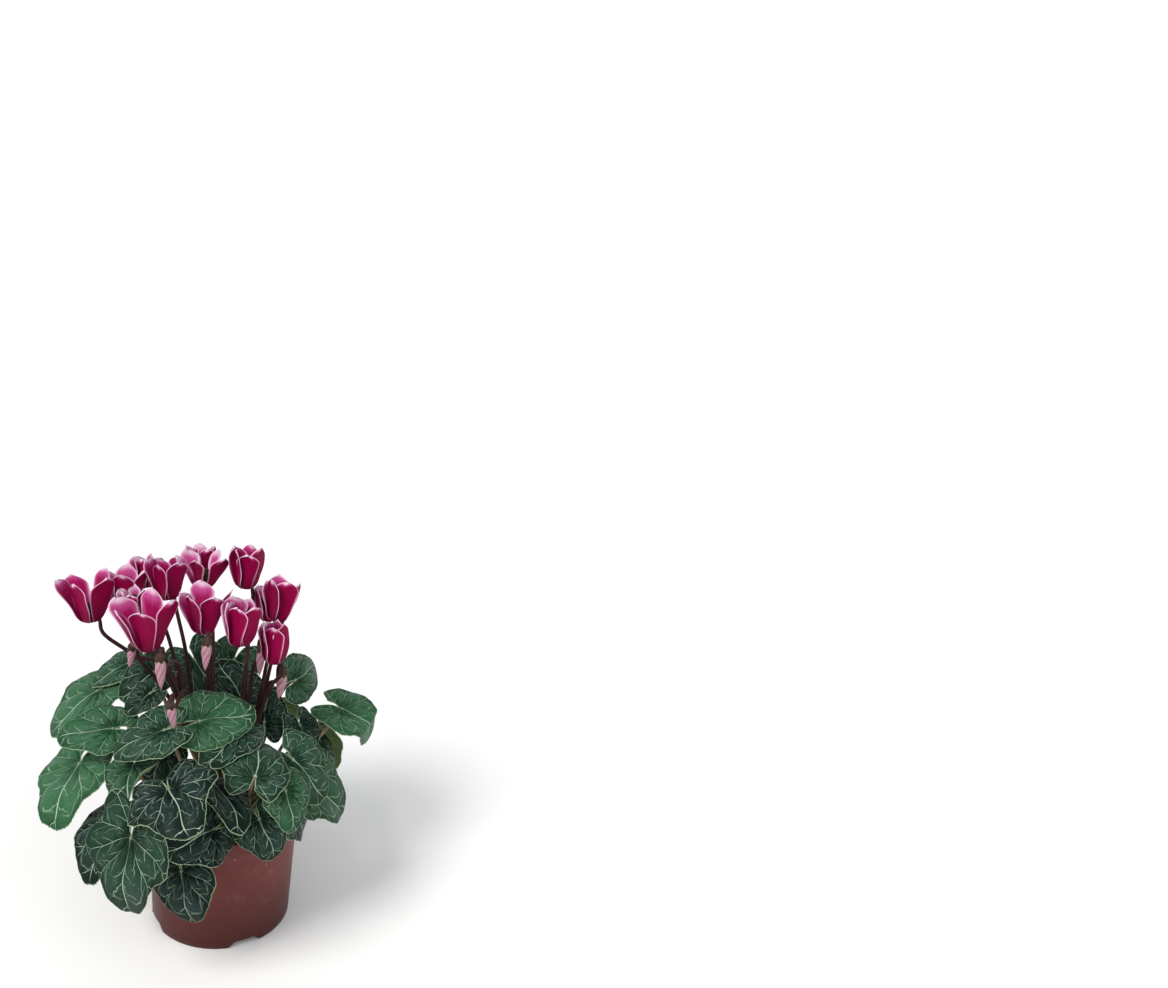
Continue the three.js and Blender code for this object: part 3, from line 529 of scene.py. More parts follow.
def petal_skin(skin, flower, number, sizes):
    """One petal, added to its flower. Across its middle line it is twisted, cupped by the square of the
    distance from the middle, grooved by a bell curve, and leans to one side; its edge waves by a sine
    along it. Its faces lie half the thickness to either side of that, which runs out to nothing at the
    edge."""
    axis, gap, left = flower_frame(flower)
    seed = flower.number * PETALS + number
    even = 2 * np.pi / PETALS * (number + 0.5)
    turn = even + np.radians(PARTING) * np.sin(even)
    late_rows = 0.8 + 0.2 * np.sin(np.linspace(0.1, 1, 11) * np.pi / 2)
    share = np.concatenate([np.linspace(0, 0.8, 21), late_rows])[:, None]
    across = np.sin(np.linspace(-1, 1, 19) * np.pi / 2)[None]
    out, up = petal_line(flower, seed, share)
    half = petal_half(flower, seed, share)
    opened = smoothstep(share, 0.1, 0.5)
    late = smoothstep(share, 0.35, 0.95)
    twist = np.radians(26 + 14 * (spread(seed, 25) - 0.5)) * opened
    cup = 0.16 * half * across ** 2 * smoothstep(share, 0.1, 0.4)
    phase = 2 * np.pi * spread(seed, 23)
    wave = sizes.ruffle * MM * late * across ** 3 * np.sin(9 * share + phase + 0.8 * across)
    groove = 0.35 * np.exp(-((across / 0.16) ** 2)) * opened * (1 - 0.6 * late)
    skew = 0.16 * half.max() * (spread(seed, 26) - 0.5) * late ** 2
    outwards = out + half * across * np.sin(twist) - cup + wave - groove
    sideways = half * across * np.cos(twist) - 0.25 * wave + skew
    upwards = up + 0.8 * late ** 4 * np.sin(3.4 * across + phase) - 0.05 * half * across ** 2 * late
    radial = gap * np.cos(turn) + left * np.sin(turn)
    tangent = np.cross(axis, radial)
    middle = set_in(np.stack([outwards, sideways, upwards], axis=-1), flower.mouth, radial, tangent, axis)
    normal = grid_normals(middle)
    check = normal[14, 9] @ radial
    normal = normal * (1 if check > 0 else -1)
    side = (1 - np.abs(across)) * half
    rim = np.minimum(side, (1 - share) * flower.length * 0.8)
    thinning = 0.7
    thick = 0.5 * sizes.petal * MM * np.clip(rim / thinning, 0, 1) ** 0.5
    marks = dict(share=share, across=across, rim=rim, seed=seed * 3.7, pale=flower.pale)
    skin.add(middle + normal * thick[..., None], 0, flip=check < 0, inner=0, **marks)
    skin.add(middle - normal * thick[..., None], 0, flip=check > 0, inner=1, **marks)


def flower_skin(flower, sizes):
    """A flower: five petals round a short five-ribbed tube whose mouth looks down."""
    axis, gap, left = flower_frame(flower)
    skin = Skin("share", "across", "rim", "seed", "pale", "inner", "tube")
    profile = softened([(0, 2.2), (1.7, 1.9), (2.9, 0.1), (3.5, -0.35), (3.9, 0.4), (3.1, 2.6),
                        (2.45, TUBE_TOP - 0.4), (1.9, TUBE_TOP), (0, TUBE_TOP)])

    def ribbed(turn, radius, height):
        return radius * (1 + 0.05 * np.cos(PETALS * turn + np.pi)), height

    placed = set_in(turned(profile, 50, ribbed), flower.mouth, gap, left, axis)
    skin.add(placed, 0, flip=True, tube=1, share=0.0, rim=3.0, seed=flower.number * 3.7)
    for number in range(PETALS):
        petal_skin(skin, flower, number, sizes)
    return skin


# Buds and stems

def bud_skin(bud):
    """A furled bud: a drop turned round its axis, which twists as it goes down and sways by a sine. Five
    folds overlap on it: each swells by a sine across it and stands higher on its later side."""
    axis = unit(np.array([np.tan(np.radians(bud.lean)), 0.0, -1.0]))
    front = np.array([0.0, 1.0, 0.0])
    left = np.cross(axis, front)
    line = softened([(0, 0), (0.5, 0.01), (0.8, 0.07), (0.97, 0.18), (1, 0.32), (0.86, 0.5), (0.66, 0.66),
                     (0.42, 0.82), (0.2, 0.93), (0.07, 0.99), (0, 1)])
    down = line[:, 1, None]
    turn = np.linspace(0, 2 * np.pi, 61)[None]
    spin = 3.4 * down
    fold = (turn * PETALS / (2 * np.pi)) % 1.0
    swell = np.sin(np.pi * fold)
    lap = 0.86 + 0.14 * swell ** 0.6 + 0.07 * (fold - 0.5) * swell
    radius = bud.radius * line[:, 0, None] * lap
    height = GAP + down * (bud.length - GAP) + 0 * turn
    sway = 0.5 * np.sin(2.6 * down + bud.number)
    x, y = radius * np.cos(turn + spin) + sway * down, radius * np.sin(turn + spin)
    skin = Skin("share", "fold", "seed")
    placed = set_in(np.stack([x, y, height], axis=-1), bud.top, front, left, axis)
    skin.add(placed, 0, flip=True, share=down, fold=fold, seed=bud.number * 3.7)
    return skin


def knot_curve(points, count):
    """A centripetal Catmull-Rom curve: cubic pieces through the points, whose knots are as far apart as
    the root of the distance between the points. The first and the last point are mirrored in their
    neighbours."""
    p = np.asarray(points, float)
    p = np.concatenate([[2 * p[0] - p[1]], p, [2 * p[-1] - p[-2]]])
    gap = np.linalg.norm(np.diff(p, axis=0), axis=1) ** 0.5
    a, b, c = gap[:-2, None], gap[1:-1, None], gap[2:, None]
    p0, p1, p2, p3 = p[:-3], p[1:-2], p[2:-1], p[3:]
    leave = ((p1 - p0) / a - (p2 - p0) / (a + b) + (p2 - p1) / b) * b
    reach = ((p2 - p1) / b - (p3 - p1) / (b + c) + (p3 - p2) / c) * b
    place = np.linspace(0, len(p1) - 1e-6, count)
    k, t = np.floor(place).astype(int), (place % 1)[:, None]
    return ((2 * t ** 3 - 3 * t ** 2 + 1) * p1[k] + (t ** 3 - 2 * t ** 2 + t) * leave[k]
            + (3 * t ** 2 - 2 * t ** 3) * p2[k] + (t ** 3 - t ** 2) * reach[k])


def throat_of(place):
    """Where a stem on its way to a place passes between the leaves."""
    return np.array([THROAT_HALF * np.tanh(place[0] / 50), 0.2 * place[1] + 8, THROAT_LEVEL])


def stem_points(arrive, lift):
    """A stem's points from inside the tuber to where it arrives, bowed upwards past the throat."""
    throat = throat_of(arrive)
    high = (throat + arrive) / 2
    high[2] += lift * np.linalg.norm(throat - arrive)
    sunk = -2
    return [tuber_seat(throat, STEM_SEATS, sunk), throat, high, arrive]


def flower_stem(flower):
    """The path of a flower's stem, hooked over its tube, and the place of the calyx that holds the tube."""
    axis, gap, left = flower_frame(flower)

    def at(out, up):
        return flower.mouth + out * gap + up * axis

    reach = 3.3 + 2 * flower.length / FULL_LENGTH
    hook = [at(reach, -1), at(0.82 * reach, 5), at(0.7 * reach, 10.4), at(1.4, 11.6), at(0, 9)]
    path = knot_curve([*stem_points(at(6, -9), 0.1), *hook], 96)
    return path, (at(0, TUBE_TOP), axis, gap, left, 1.0)


def bud_stem(bud, stem_radius):
    """The path of a bud's stem, hooked over it, and the place of its smaller calyx."""
    out = throat_of(bud.top) - bud.top
    out[2] = 0
    out = unit(out)

    def at(share, up):
        return bud.top + share * out + np.array([0, 0, up])

    reach = bud.radius + stem_radius * MM + 1
    hook = [at(reach, 0), at(0.7 * reach, 5), at(0.2 * reach, 5.4), at(0, 1.6)]
    path = knot_curve([*stem_points(at(reach, -8), 0.25), *hook], 84)
    right, back, up = np.eye(3)
    lean = unit(np.array([-np.tan(np.radians(bud.lean)), 0.0, 1.0]))
    return path, (bud.top - 0.3 * up, lean, right, back, 0.95)


def calyx_grid(base, axis, gap, left, scale):
    """A cup over the top of a flower's tube or a bud: a profile turned round its axis, whose lower edge
    runs out into five points, by a power of a cosine of the angle."""
    outer = [(0, 5.0), (1.0, 4.9), (1.5, 4.3), (2.4, 3.0), (2.95, 1.2), (3.05, -0.6), (2.95, -1.6)]
    inner = [(2.8, -1.5), (2.7, -0.4), (2.3, 0.8), (1.2, 1.6), (0, 1.8)]
    # How far each point of the profile follows the five points
    depth = np.array([0, 0, 0, 0.05, 0.35, 0.8, 1, 0.95, 0.7, 0.1, 0, 0])[:, None]

    def pointed(turn, radius, height):
        point = np.abs(np.cos(PETALS / 2 * turn)) ** 1.4
        return radius * (1 + 0.05 * depth * (1 - point)), height - depth * (1.9 * point - 1.5)

    return set_in(turned(outer + inner, 40, pointed) * scale, base, gap, left, axis)


def crown_skin(sizes):
    """The tuber, a flattened, lumpy ball, and the stems that grow from it, each with its calyx."""
    skin = Skin("share", "seed")
    whole = ball(40, 72)
    lump = 1 + 0.035 * ripple(whole, 0.9, 31) + 0.02 * ripple(whole, 0.33, 37)
    shape = whole * np.array([TUBER_RADIUS, TUBER_RADIUS, TUBER_HEIGHT]) * lump[..., None]
    skin.add(shape + np.array([0, 0, TUBER_LEVEL]), 0)
    stems = [flower_stem(flower) for flower in all_flowers()]
    stems += [bud_stem(bud, sizes.stem_radius) for bud in all_buds()]
    for number, (path, calyx) in enumerate(stems):
        climb = np.linspace(0, 1, len(path))
        thick = sizes.stem_radius * MM * (1.25 - 0.3 * climb + 0.25 * smoothstep(climb, 0.93, 1))
        share = np.concatenate([[0], climb, [1]])[:, None]
        skin.add(tube(path, thick, 12), 1, share=share, seed=number * 2.9)
        skin.add(calyx_grid(*calyx), 2, seed=number * 2.9, share=1.0)
    return skin


# Soil and pot

def hummocks(x, y):
    """The broad rise and fall of the soil's top: a product of two sine waves, and a slanting one."""
    return np.sin(0.31 * x + 0.5) * np.sin(0.27 * y + 1.1) + 0.5 * np.sin(0.5 * x - 0.45 * y)


def soil_skin(pot):
    """The soil: a plain body that fills the pot, with hummocks and three sizes of lumps on its top, which
    die out at the wall. Loose crumbs lie on it: lumpy balls at seeded places outside the tuber."""
    wide = (pot.body_radius - pot.wall) * MM - 0.7
    narrow = (pot.foot_radius - pot.wall) * MM - 0.3
    level, floor, high = pot.soil_level * MM, 7.3, 1.1
    top = np.linspace(wide - 0.3, 0, 60)
    profile = [(0, floor), (narrow - 0.2, floor), (wide, level - 1.2)] + [(r, level) for r in top]

    def lumpy(turn, radius, height):
        x, y = radius * np.cos(turn), radius * np.sin(turn)
        place = np.stack([x, y, 0 * x], axis=-1)
        fine = 0.45 * ripple(place, 5.3, 41) + 0.35 * ripple(place, 2.6, 45) + 0.25 * ripple(place, 1.4, 49)
        lift = (height > level - 0.5) * smoothstep(wide - radius, 0, 2.5)
        return radius, height + lift * (high * hummocks(x, y) + fine)

    skin = Skin("crumb")
    skin.add(turned(profile, 150, lumpy), 0, crumb=0)
    index = np.arange(520)
    reach = TUBER_RADIUS + 1 + (wide - TUBER_RADIUS - 3) * np.sqrt(spread(index, 51))
    turn = 2 * np.pi * spread(index, 52)
    x, y = reach * np.cos(turn), reach * np.sin(turn)
    seat = np.stack([x, y, level + high * hummocks(x, y)], axis=-1)[:, None, None]
    size = (0.45 + 1.1 * spread(index, 53) ** 2)[:, None, None, None]
    grain = ball(5, 6)[None]
    uneven = 1 + 0.35 * ripple(grain + 9 * spread(index, 54)[:, None, None, None], 1.7, 55)
    for crumb in seat + size * grain * uneven[..., None]:
        skin.add(crumb, 0, crumb=1)
    return skin


def pot_skin(pot):
    """The pot: a wall turned round the axis, whose foot ring is raised in arches; a floor plate with
    drain holes, each hole a circle that widens to the bounds of its sector; and a hub that stands as low
    as the ring."""
    rim, body, foot = pot.rim_radius * MM, pot.body_radius * MM, pot.foot_radius * MM
    high, wall = pot.height * MM, pot.wall * MM
    collar = high - pot.collar_height * MM
    # The levels of the floor plate's two faces, the breadth of the foot ring and the radius of the hub
    under, top, ring, hub = 5.5, 7, 5, 21
    outside = [(foot - 1, 0), (foot, 1), (foot + (body - foot) * 0.3, 0.3 * collar), (body, collar - 0.4),
               (rim - 0.5, collar + 1.1), (rim - 0.1, high - 2), (rim, high - 0.8), (rim - 0.7, high)]
    inside = [(rim - wall, high - 0.7), (rim - wall - 0.6, collar + 2.2), (body - wall, collar),
              (foot - wall, top)]
    below = [(foot - ring, top), (foot - ring, under), (foot - ring + 0.9, 0), (foot - 1, 0)]
    line = np.array(outside + inside + below, float)
    steps = np.linspace(0, 1, 7)[:-1, None]
    fine = np.concatenate([a + (b - a) * steps for a, b in zip(line[:-1], line[1:])] + [line[-1:]])
    # The arches: how many, the angle of the first, their width, the slope at each end, and their height
    arches, first, width, slope, rise = 4, -69, 24, 6, 5.2

    def arched(turn, radius, height):
        step = 2 * np.pi / arches
        away = (turn - np.radians(first) + step / 2) % step - step / 2
        lift = rise * (1 - smoothstep(np.abs(np.sin(away)) * foot, width / 2 - slope, width / 2))
        return radius, height + lift * np.clip(1 - height / under, 0, 1)

    skin = Skin()
    skin.add(turned(fine, 288, arched), 0, flip=True)
    cap = [(0, 0), (hub, 0), (hub + 1, under), (hub + 1, top), (0, top)]
    skin.add(turned(cap, 96), 0, flip=True)
    # The holes: the circle that they lie on, their radius and number, and half the width and length of the
    # plate round each
    circle, hole, holes, across, along = 32, 4, 6, 10.6, 16.8
    turn = np.linspace(0, 2 * np.pi, 73)[None]
    bounds = np.minimum(across / np.maximum(np.abs(np.cos(turn)), 1e-6),
                        along / np.maximum(np.abs(np.sin(turn)), 1e-6))
    away = hole + (bounds - hole) * np.array([0, 0.25, 0.6, 1])[:, None]
    for k in range(holes):
        radius = circle + away * np.cos(turn)
        angle = away * np.sin(turn) / circle + 2 * np.pi / holes * (k + 0.5)
        x, y = radius * np.cos(angle), radius * np.sin(angle)
        upper, lower = [np.stack([x, y, 0 * x + z], axis=-1) for z in (top, under)]
        skin.add(upper, 0)
        skin.add(lower, 0, flip=True)
        skin.add(np.stack([lower[0], upper[0]]), 0)
    return skin


def floor_skin():
    """The floor: a wide disc, flat under the plant, that rises far away like the rim of a dish."""
    turn = np.linspace(0, 2 * np.pi, 97)
    radius = np.array([0, 500, 1500, 6000, 14000, 20000, 24000, 26000])[:, None]
    rise = np.array([0, 0, 0, 0, 300, 1600, 4500, 9000])[:, None]
    skin = Skin()
    skin.add(np.stack([radius * np.cos(turn), radius * np.sin(turn), rise + 0 * turn], axis=-1))
    return skin


# Finishes

class Mark:
    """A number that changes over a surface: arithmetic on it adds Math nodes to its finish."""

    def __init__(self, finish, socket):
        self.finish, self.socket = finish, socket

    def work(self, operation, *values):
        """A Math node on its values."""
        return self.finish.node("ShaderNodeMath", {"operation": operation}, dict(enumerate(values)))

    def __add__(self, other):
        return self.work("ADD", self, other)

    __radd__ = __add__

    def __sub__(self, other):
        return self.work("SUBTRACT", self, other)

    def __rsub__(self, other):
        return self.work("SUBTRACT", other, self)

    def __mul__(self, other):
        return self.work("MULTIPLY", self, other)

    __rmul__ = __mul__

    def __pow__(self, other):
        return self.work("POWER", self, other)

    def __abs__(self):
        return self.work("ABSOLUTE", self)

    def part(self):
        """What is left past the whole number below."""
        return self.work("FRACT", self)

    def most(self, other):
        """The larger of the two."""
        return self.work("MAXIMUM", self, other)


class Finish:
    """Builds one material from nodes."""

    def __init__(self, name):
        self.material = bpy.data.materials.new(name)
        self.material.use_nodes = True
        self.tree = self.material.node_tree
        self.shader = self.tree.nodes["Principled BSDF"]

    def node(self, kind, settings=None, values=None, output=0):
        """A node of a type: its settings first, then the values or links of its sockets."""
        made = self.tree.nodes.new(kind)
        for key, setting in (settings or {}).items():
            setattr(made, key, setting)
        for key, value in (values or {}).items():
            if isinstance(value, Mark):
                self.tree.links.new(value.socket, made.inputs[key])
            else:
                made.inputs[key].default_value = value
        return Mark(self, made.outputs[output])

    def mark(self, name):
        """A number kept on the mesh's points."""
        return self.node("ShaderNodeAttribute", {"attribute_name": name}, output="Fac")

    def place(self):
        """The point's place in the part, in metres."""
        return self.node("ShaderNodeTexCoord", output="Object")

    def along(self, place, axis):
        """One of the three numbers of a place."""
        return self.node("ShaderNodeSeparateXYZ", None, {0: place}, output=axis)

    def moved(self, place, stretch=(1, 1, 1), shift=(0, 0, 0)):
        """A place stretched and then shifted, which stretches a pattern the other way."""
        return self.node("ShaderNodeMapping", None, {"Vector": place, "Scale": stretch, "Location": shift})

    def joined(self, x, y, z):
        """A place made of three numbers."""
        return self.node("ShaderNodeCombineXYZ", None, {0: x, 1: y, 2: z})

    def cloud(self, place, scale, detail=3.0, rough=0.55):
        """Smooth noise from 0 to 1."""
        values = {"Vector": place, "Scale": scale, "Detail": detail, "Roughness": rough}
        return self.node("ShaderNodeTexNoise", None, values)

    def cells(self, place, scale, feature="DISTANCE_TO_EDGE"):
        """Irregular cells: how far a point is from the border of its cell, or from its cell's middle."""
        return self.node("ShaderNodeTexVoronoi", {"feature": feature}, {"Vector": place, "Scale": scale})

    def smooth(self, value, low, high):
        """0 at low and 1 at high, eased at both ends; it falls where low is the larger."""
        return self.node("ShaderNodeMapRange", {"interpolation_type": "SMOOTHSTEP"},
                         {"Value": value, "From Min": low, "From Max": high})

    def blend(self, share, first, second, kind="MIX"):
        """A colour between two; each colour has three numbers, or is a mark."""
        values = {0: share, 6: opaque(first), 7: opaque(second)}
        return self.node("ShaderNodeMix", {"data_type": "RGBA", "blend_type": kind}, values, output=2)

    def surface(self, colour, rough, height=None, distance=0.0003, constants=None):
        """Wires the finish to its shader: colour, roughness, bump, and what is the same all over."""
        for key, value in (("Base Color", colour), ("Roughness", rough)):
            if isinstance(value, Mark):
                self.tree.links.new(value.socket, self.shader.inputs[key])
            else:
                self.shader.inputs[key].default_value = value
        if height is not None:
            values = {"Height": height, "Distance": distance, "Strength": 1.0}
            bump = self.node("ShaderNodeBump", None, values, output="Normal")
            self.tree.links.new(bump.socket, self.shader.inputs["Normal"])
        for key, value in (constants or {}).items():
            self.shader.inputs[key].default_value = value
        return self.material


def opaque(colour):
    """A colour's three numbers with a fourth for full cover; a mark stays as it is."""
    return colour if isinstance(colour, Mark) else (*colour, 1.0)


def leaf_finish(settings):
    """Waxy green, from deep to fresh by the leaf's brightness, with pale veins, silvery clouds and a pale
    edge, which is partly the leaf's pale margin and partly a painted highlight along the rim.

    The main veins are where the distance from the vein is under a width that shrinks outwards. The side
    veins are bands of a saw tooth of the share of the way out, which slant outwards with the distance
    from the main vein. A faint loop joins them near the edge, and a net of fine cells lies between them.
    The underside is olive, and there the veins stand out."""
    silver_grit, old_olive = (0.12, 0.19, 0.155), (0.10, 0.15, 0.05)
    # The second colour on the next line is the pale edge: partly the leaf's pale margin, partly painted
    # highlight along the rim
    vein_beneath, pale_margin_highlight = (0.34, 0.40, 0.22), (0.33, 0.44, 0.27)
    dark_pale, fresh_pale, dusk = (0.016, 0.037, 0.033), (0.052, 0.155, 0.074), (0.42, 0.48, 0.52)
    f = Finish("leaf_blade")
    place = f.place()
    seed, tone, share, off = f.mark("seed"), f.mark("tone"), f.mark("share"), f.mark("off")
    vein, rim, under = f.mark("vein"), f.mark("rim"), f.mark("under")
    wobble = f.cloud(place, 130.0, 2.0) - 0.5
    mottle = f.cloud(place, 55.0, 4.0, 0.6)
    grain = f.cloud(place, 900.0, 3.0, 0.6)
    net = f.cells(place, 520.0)

    main_width = 0.95 - 0.55 * share
    main = f.smooth(vein + 0.3 * wobble, main_width, main_width * 0.45) * f.smooth(share, 1.0, 0.8)
    side_veins = 3.4
    rung = (share - 0.3 * off ** 0.8 + 0.3 * wobble) * side_veins + 0.37 * seed
    near = abs(rung.part() - 0.5) * 2
    side_width = 0.925 - 0.02 * f.smooth(share, 0.9, 0.2)
    between = f.smooth(share, 0.15, 0.3) * f.smooth(off, 1.0, 0.45)
    side = f.smooth(near, side_width, side_width + 0.05) * between
    loop_at = 0.80 + 0.08 * off ** 2 + 0.12 * wobble
    loop = f.smooth(abs(share - loop_at), 0.018, 0.006)
    patchy = f.smooth(mottle, 0.38, 0.56)
    veins = main.most(side * (0.5 + 0.4 * patchy)).most(loop * patchy * off * 0.4) * f.smooth(rim, 0.2, 1.2)
    fine = f.smooth(net, 0.09, 0.02)

    speck = f.smooth(f.cloud(place, 420.0, 3.0, 0.7), 0.55, 0.72)
    zone = f.smooth(share, 0.22, 0.45) * f.smooth(share, 0.97, 0.72)
    silver = zone * f.smooth(mottle + 0.25 * off, 0.42, 0.72)
    halo = f.smooth(vein, 2.2, 0.5) * f.smooth(share, 0.95, 0.4)
    green = f.blend(tone, settings.deep, settings.fresh)
    shade = f.blend(f.smooth(mottle, 0.35, 0.7), green, f.blend(1.0, green, dusk, "MULTIPLY"))
    pale = f.blend(tone, dark_pale, fresh_pale)
    colour = f.blend((silver * 0.6).most(halo * 0.2), shade, pale)
    colour = f.blend(silver * speck * 0.6, colour, silver_grit)
    colour = f.blend(fine * 0.1, colour, pale)
    colour = f.blend(veins * 0.9, colour, settings.vein)
    back = f.blend(f.smooth(mottle, 0.3, 0.7), settings.underside, old_olive)
    back = f.blend(veins * 0.7, back, vein_beneath)
    colour = f.blend(under, colour, back)
    # Pale edge: partly the leaf's pale margin, partly a painted highlight where light catches the rim
    edge = f.smooth(rim + 0.5 * wobble, 0.65, 0.2)
    colour = f.blend(edge * 0.85, colour, pale_margin_highlight)

    rough = 0.27 + 0.16 * mottle + 0.06 * grain + 0.3 * under
    raised = (2.0 * under - 1.0) * veins * 0.9 + 0.35 * f.smooth(net, 0.0, 0.25) + 0.12 * grain
    return f.surface(colour, rough, raised, 0.00022, {"Specular IOR Level": 0.1})


def stalk_finish(settings):
    """A round stalk, green low down and purple-brown under the blade, with fine lengthwise streaks."""
    dry_streak = (0.30, 0.22, 0.16)
    f = Finish("leaf_stalk")
    place, share, seed = f.place(), f.mark("share"), f.mark("seed")
    streak = f.cloud(f.moved(place, (1.0, 1.0, 0.12)), 900.0, 3.0)
    patch = f.cloud(place, 90.0, 2.0)
    blush = f.smooth(share + 0.5 * patch, 0.7, 1.2)
    colour = f.blend(blush, settings.stalk_low, settings.stalk_high)
    colour = f.blend(0.35 * streak, colour, dry_streak)
    return f.surface(colour, 0.45 + 0.2 * streak, streak + 0.1 * seed.part(), 0.0001)


def petal_finish(settings):
    """Crimson outside, deeper towards the mouth, with a thin white edge that fades to rose. The inner
    face is rosier, and in a pale flower the white runs inwards from its edge in streaks along the
    petal."""
    throat_red = (0.16, 0.004, 0.03)
    f = Finish("petal")
    place = f.place()
    share, across, rim, seed = f.mark("share"), f.mark("across"), f.mark("rim"), f.mark("seed")
    inner, throat, pale = f.mark("inner"), f.mark("tube"), f.mark("pale")
    along = f.joined(across * 7.0 + seed, share * 1.1 + seed * 0.7, inner)
    streak = f.cloud(along, 1.8, 4.0, 0.65)
    fine = f.cloud(f.joined(across * 34.0, share * 2.0, seed), 1.5, 3.0)
    cloud = f.cloud(place, 110.0, 3.0)

    deepness = f.smooth(share, 0.8, 0.2) * 0.7 + 0.3 * cloud
    outside = f.blend(deepness, settings.crimson, settings.dark)
    rosy = f.smooth(streak, 0.5, 0.85) * f.smooth(share, 0.3, 0.8) * 0.5
    outside = f.blend(rosy, outside, settings.rose)
    inside = f.blend(f.smooth(streak, 0.3, 0.75), settings.crimson, settings.rose)
    colour = f.blend(inner, outside, inside)

    high = f.smooth(share, 0.35, 0.75)
    ragged = rim + 3.0 * (fine - 0.5) * (0.4 + inner) + 3.4 * (streak - 0.5)
    reach = 0.6 + 0.6 * high + inner * high * pale * 5.0
    colour = f.blend(f.smooth(ragged, reach, reach * 0.2) * (0.25 + 0.5 * high), colour, settings.blush)
    core = f.smooth(rim + 0.6 * (fine - 0.5), 0.4 + 0.25 * high + 1.8 * inner * high * pale, 0.1)
    colour = f.blend(core * (0.35 + 0.5 * high), colour, settings.edge)
    tube = f.blend(f.smooth(cloud, 0.3, 0.7), settings.dark, throat_red)
    colour = f.blend(throat, colour, tube)
    return f.surface(colour, 0.42 + 0.2 * fine, fine * 0.8 + streak * 0.5, 0.00018,
                     {"Specular IOR Level": 0.06})


def stem_finish(settings):
    """A dull purple-brown stem, greener at its foot, with fine lengthwise streaks and tiny glands."""
    gland, green_foot = (0.16, 0.08, 0.075), (0.12, 0.11, 0.045)
    f = Finish("flower_stem")
    place, share, seed = f.place(), f.mark("share"), f.mark("seed")
    streak = f.cloud(f.moved(place, (1.0, 1.0, 0.08)), 1100.0, 3.0)
    patch = f.cloud(place, 60.0, 3.0)
    dots = f.smooth(f.cells(place, 1600.0, "F1"), 0.28, 0.12)
    colour = f.blend(f.smooth(patch + 0.3 * share, 0.35, 0.85), settings.stem_dark, settings.stem_light)
    colour = f.blend(0.22 * dots, colour, gland)
    colour = f.blend(f.smooth(share + 0.02 * seed.part(), 0.16, 0.0) * 0.6, colour, green_foot)
    return f.surface(colour, 0.5 + 0.2 * streak, 0.6 * streak + 0.6 * dots, 0.00012,
                     {"Specular IOR Level": 0.15})


def calyx_finish():
    """Dull green and brown-purple sepals with darker flecks."""
    purple, green, dark_fleck = (0.034, 0.011, 0.012), (0.055, 0.038, 0.022), (0.05, 0.012, 0.018)
    f = Finish("calyx")
    place = f.place()
    fleck = f.smooth(f.cells(place, 1500.0, "F1"), 0.3, 0.1)
    patch = f.cloud(place, 260.0, 3.0)
    colour = f.blend(f.smooth(patch, 0.35, 0.7), purple, green)
    colour = f.blend(0.5 * fleck, colour, dark_fleck)
    return f.surface(colour, 0.55, patch + 0.4 * fleck, 0.00015, {"Specular IOR Level": 0.15})


def tuber_finish():
    """Brown cork, cracked into small plates."""
    dark_cork, pale_cork, split = (0.055, 0.032, 0.020), (0.13, 0.085, 0.055), (0.02, 0.012, 0.009)
    f = Finish("tuber_cork")
    place = f.place()
    crack = f.smooth(f.cells(place, 260.0), 0.0, 0.09)
    patch = f.cloud(place, 120.0, 5.0, 0.65)
    colour = f.blend(patch, dark_cork, pale_cork)
    colour = f.blend(0.7 - 0.7 * crack, colour, split)
    return f.surface(colour, 0.8 + 0.1 * patch, crack + 0.6 * patch, 0.0006)


def bud_finish(settings):
    """Pale pink folds with darker, rosy laps, brownish under the calyx and dark at the tip."""
    pink, lap_red = (0.46, 0.19, 0.26), (0.24, 0.035, 0.085)
    tip_red, brown = (0.22, 0.06, 0.08), (0.34, 0.25, 0.14)
    f = Finish("bud")
    place = f.place()
    share, fold, seed = f.mark("share"), f.mark("fold"), f.mark("seed")
    line = f.cloud(f.joined(fold * 6.0, share * 2.0, seed), 1.4, 3.0)
    lap = f.smooth(abs(fold - 0.5) * 2 + 0.25 * line, 0.55, 1.0)
    colour = f.blend(f.smooth(line, 0.4, 0.75) * 0.6, settings.bud_pale, pink)
    colour = f.blend(lap * 0.7, colour, lap_red)
    colour = f.blend(f.smooth(share, 0.8, 1.0) * 0.5, colour, tip_red)
    colour = f.blend(f.smooth(share, 0.22, 0.02) * 0.55, colour, brown)
    return f.surface(colour, 0.5 + 0.15 * line, line + 0.5 * f.cloud(place, 900.0), 0.00012,
                     {"Specular IOR Level": 0.25})


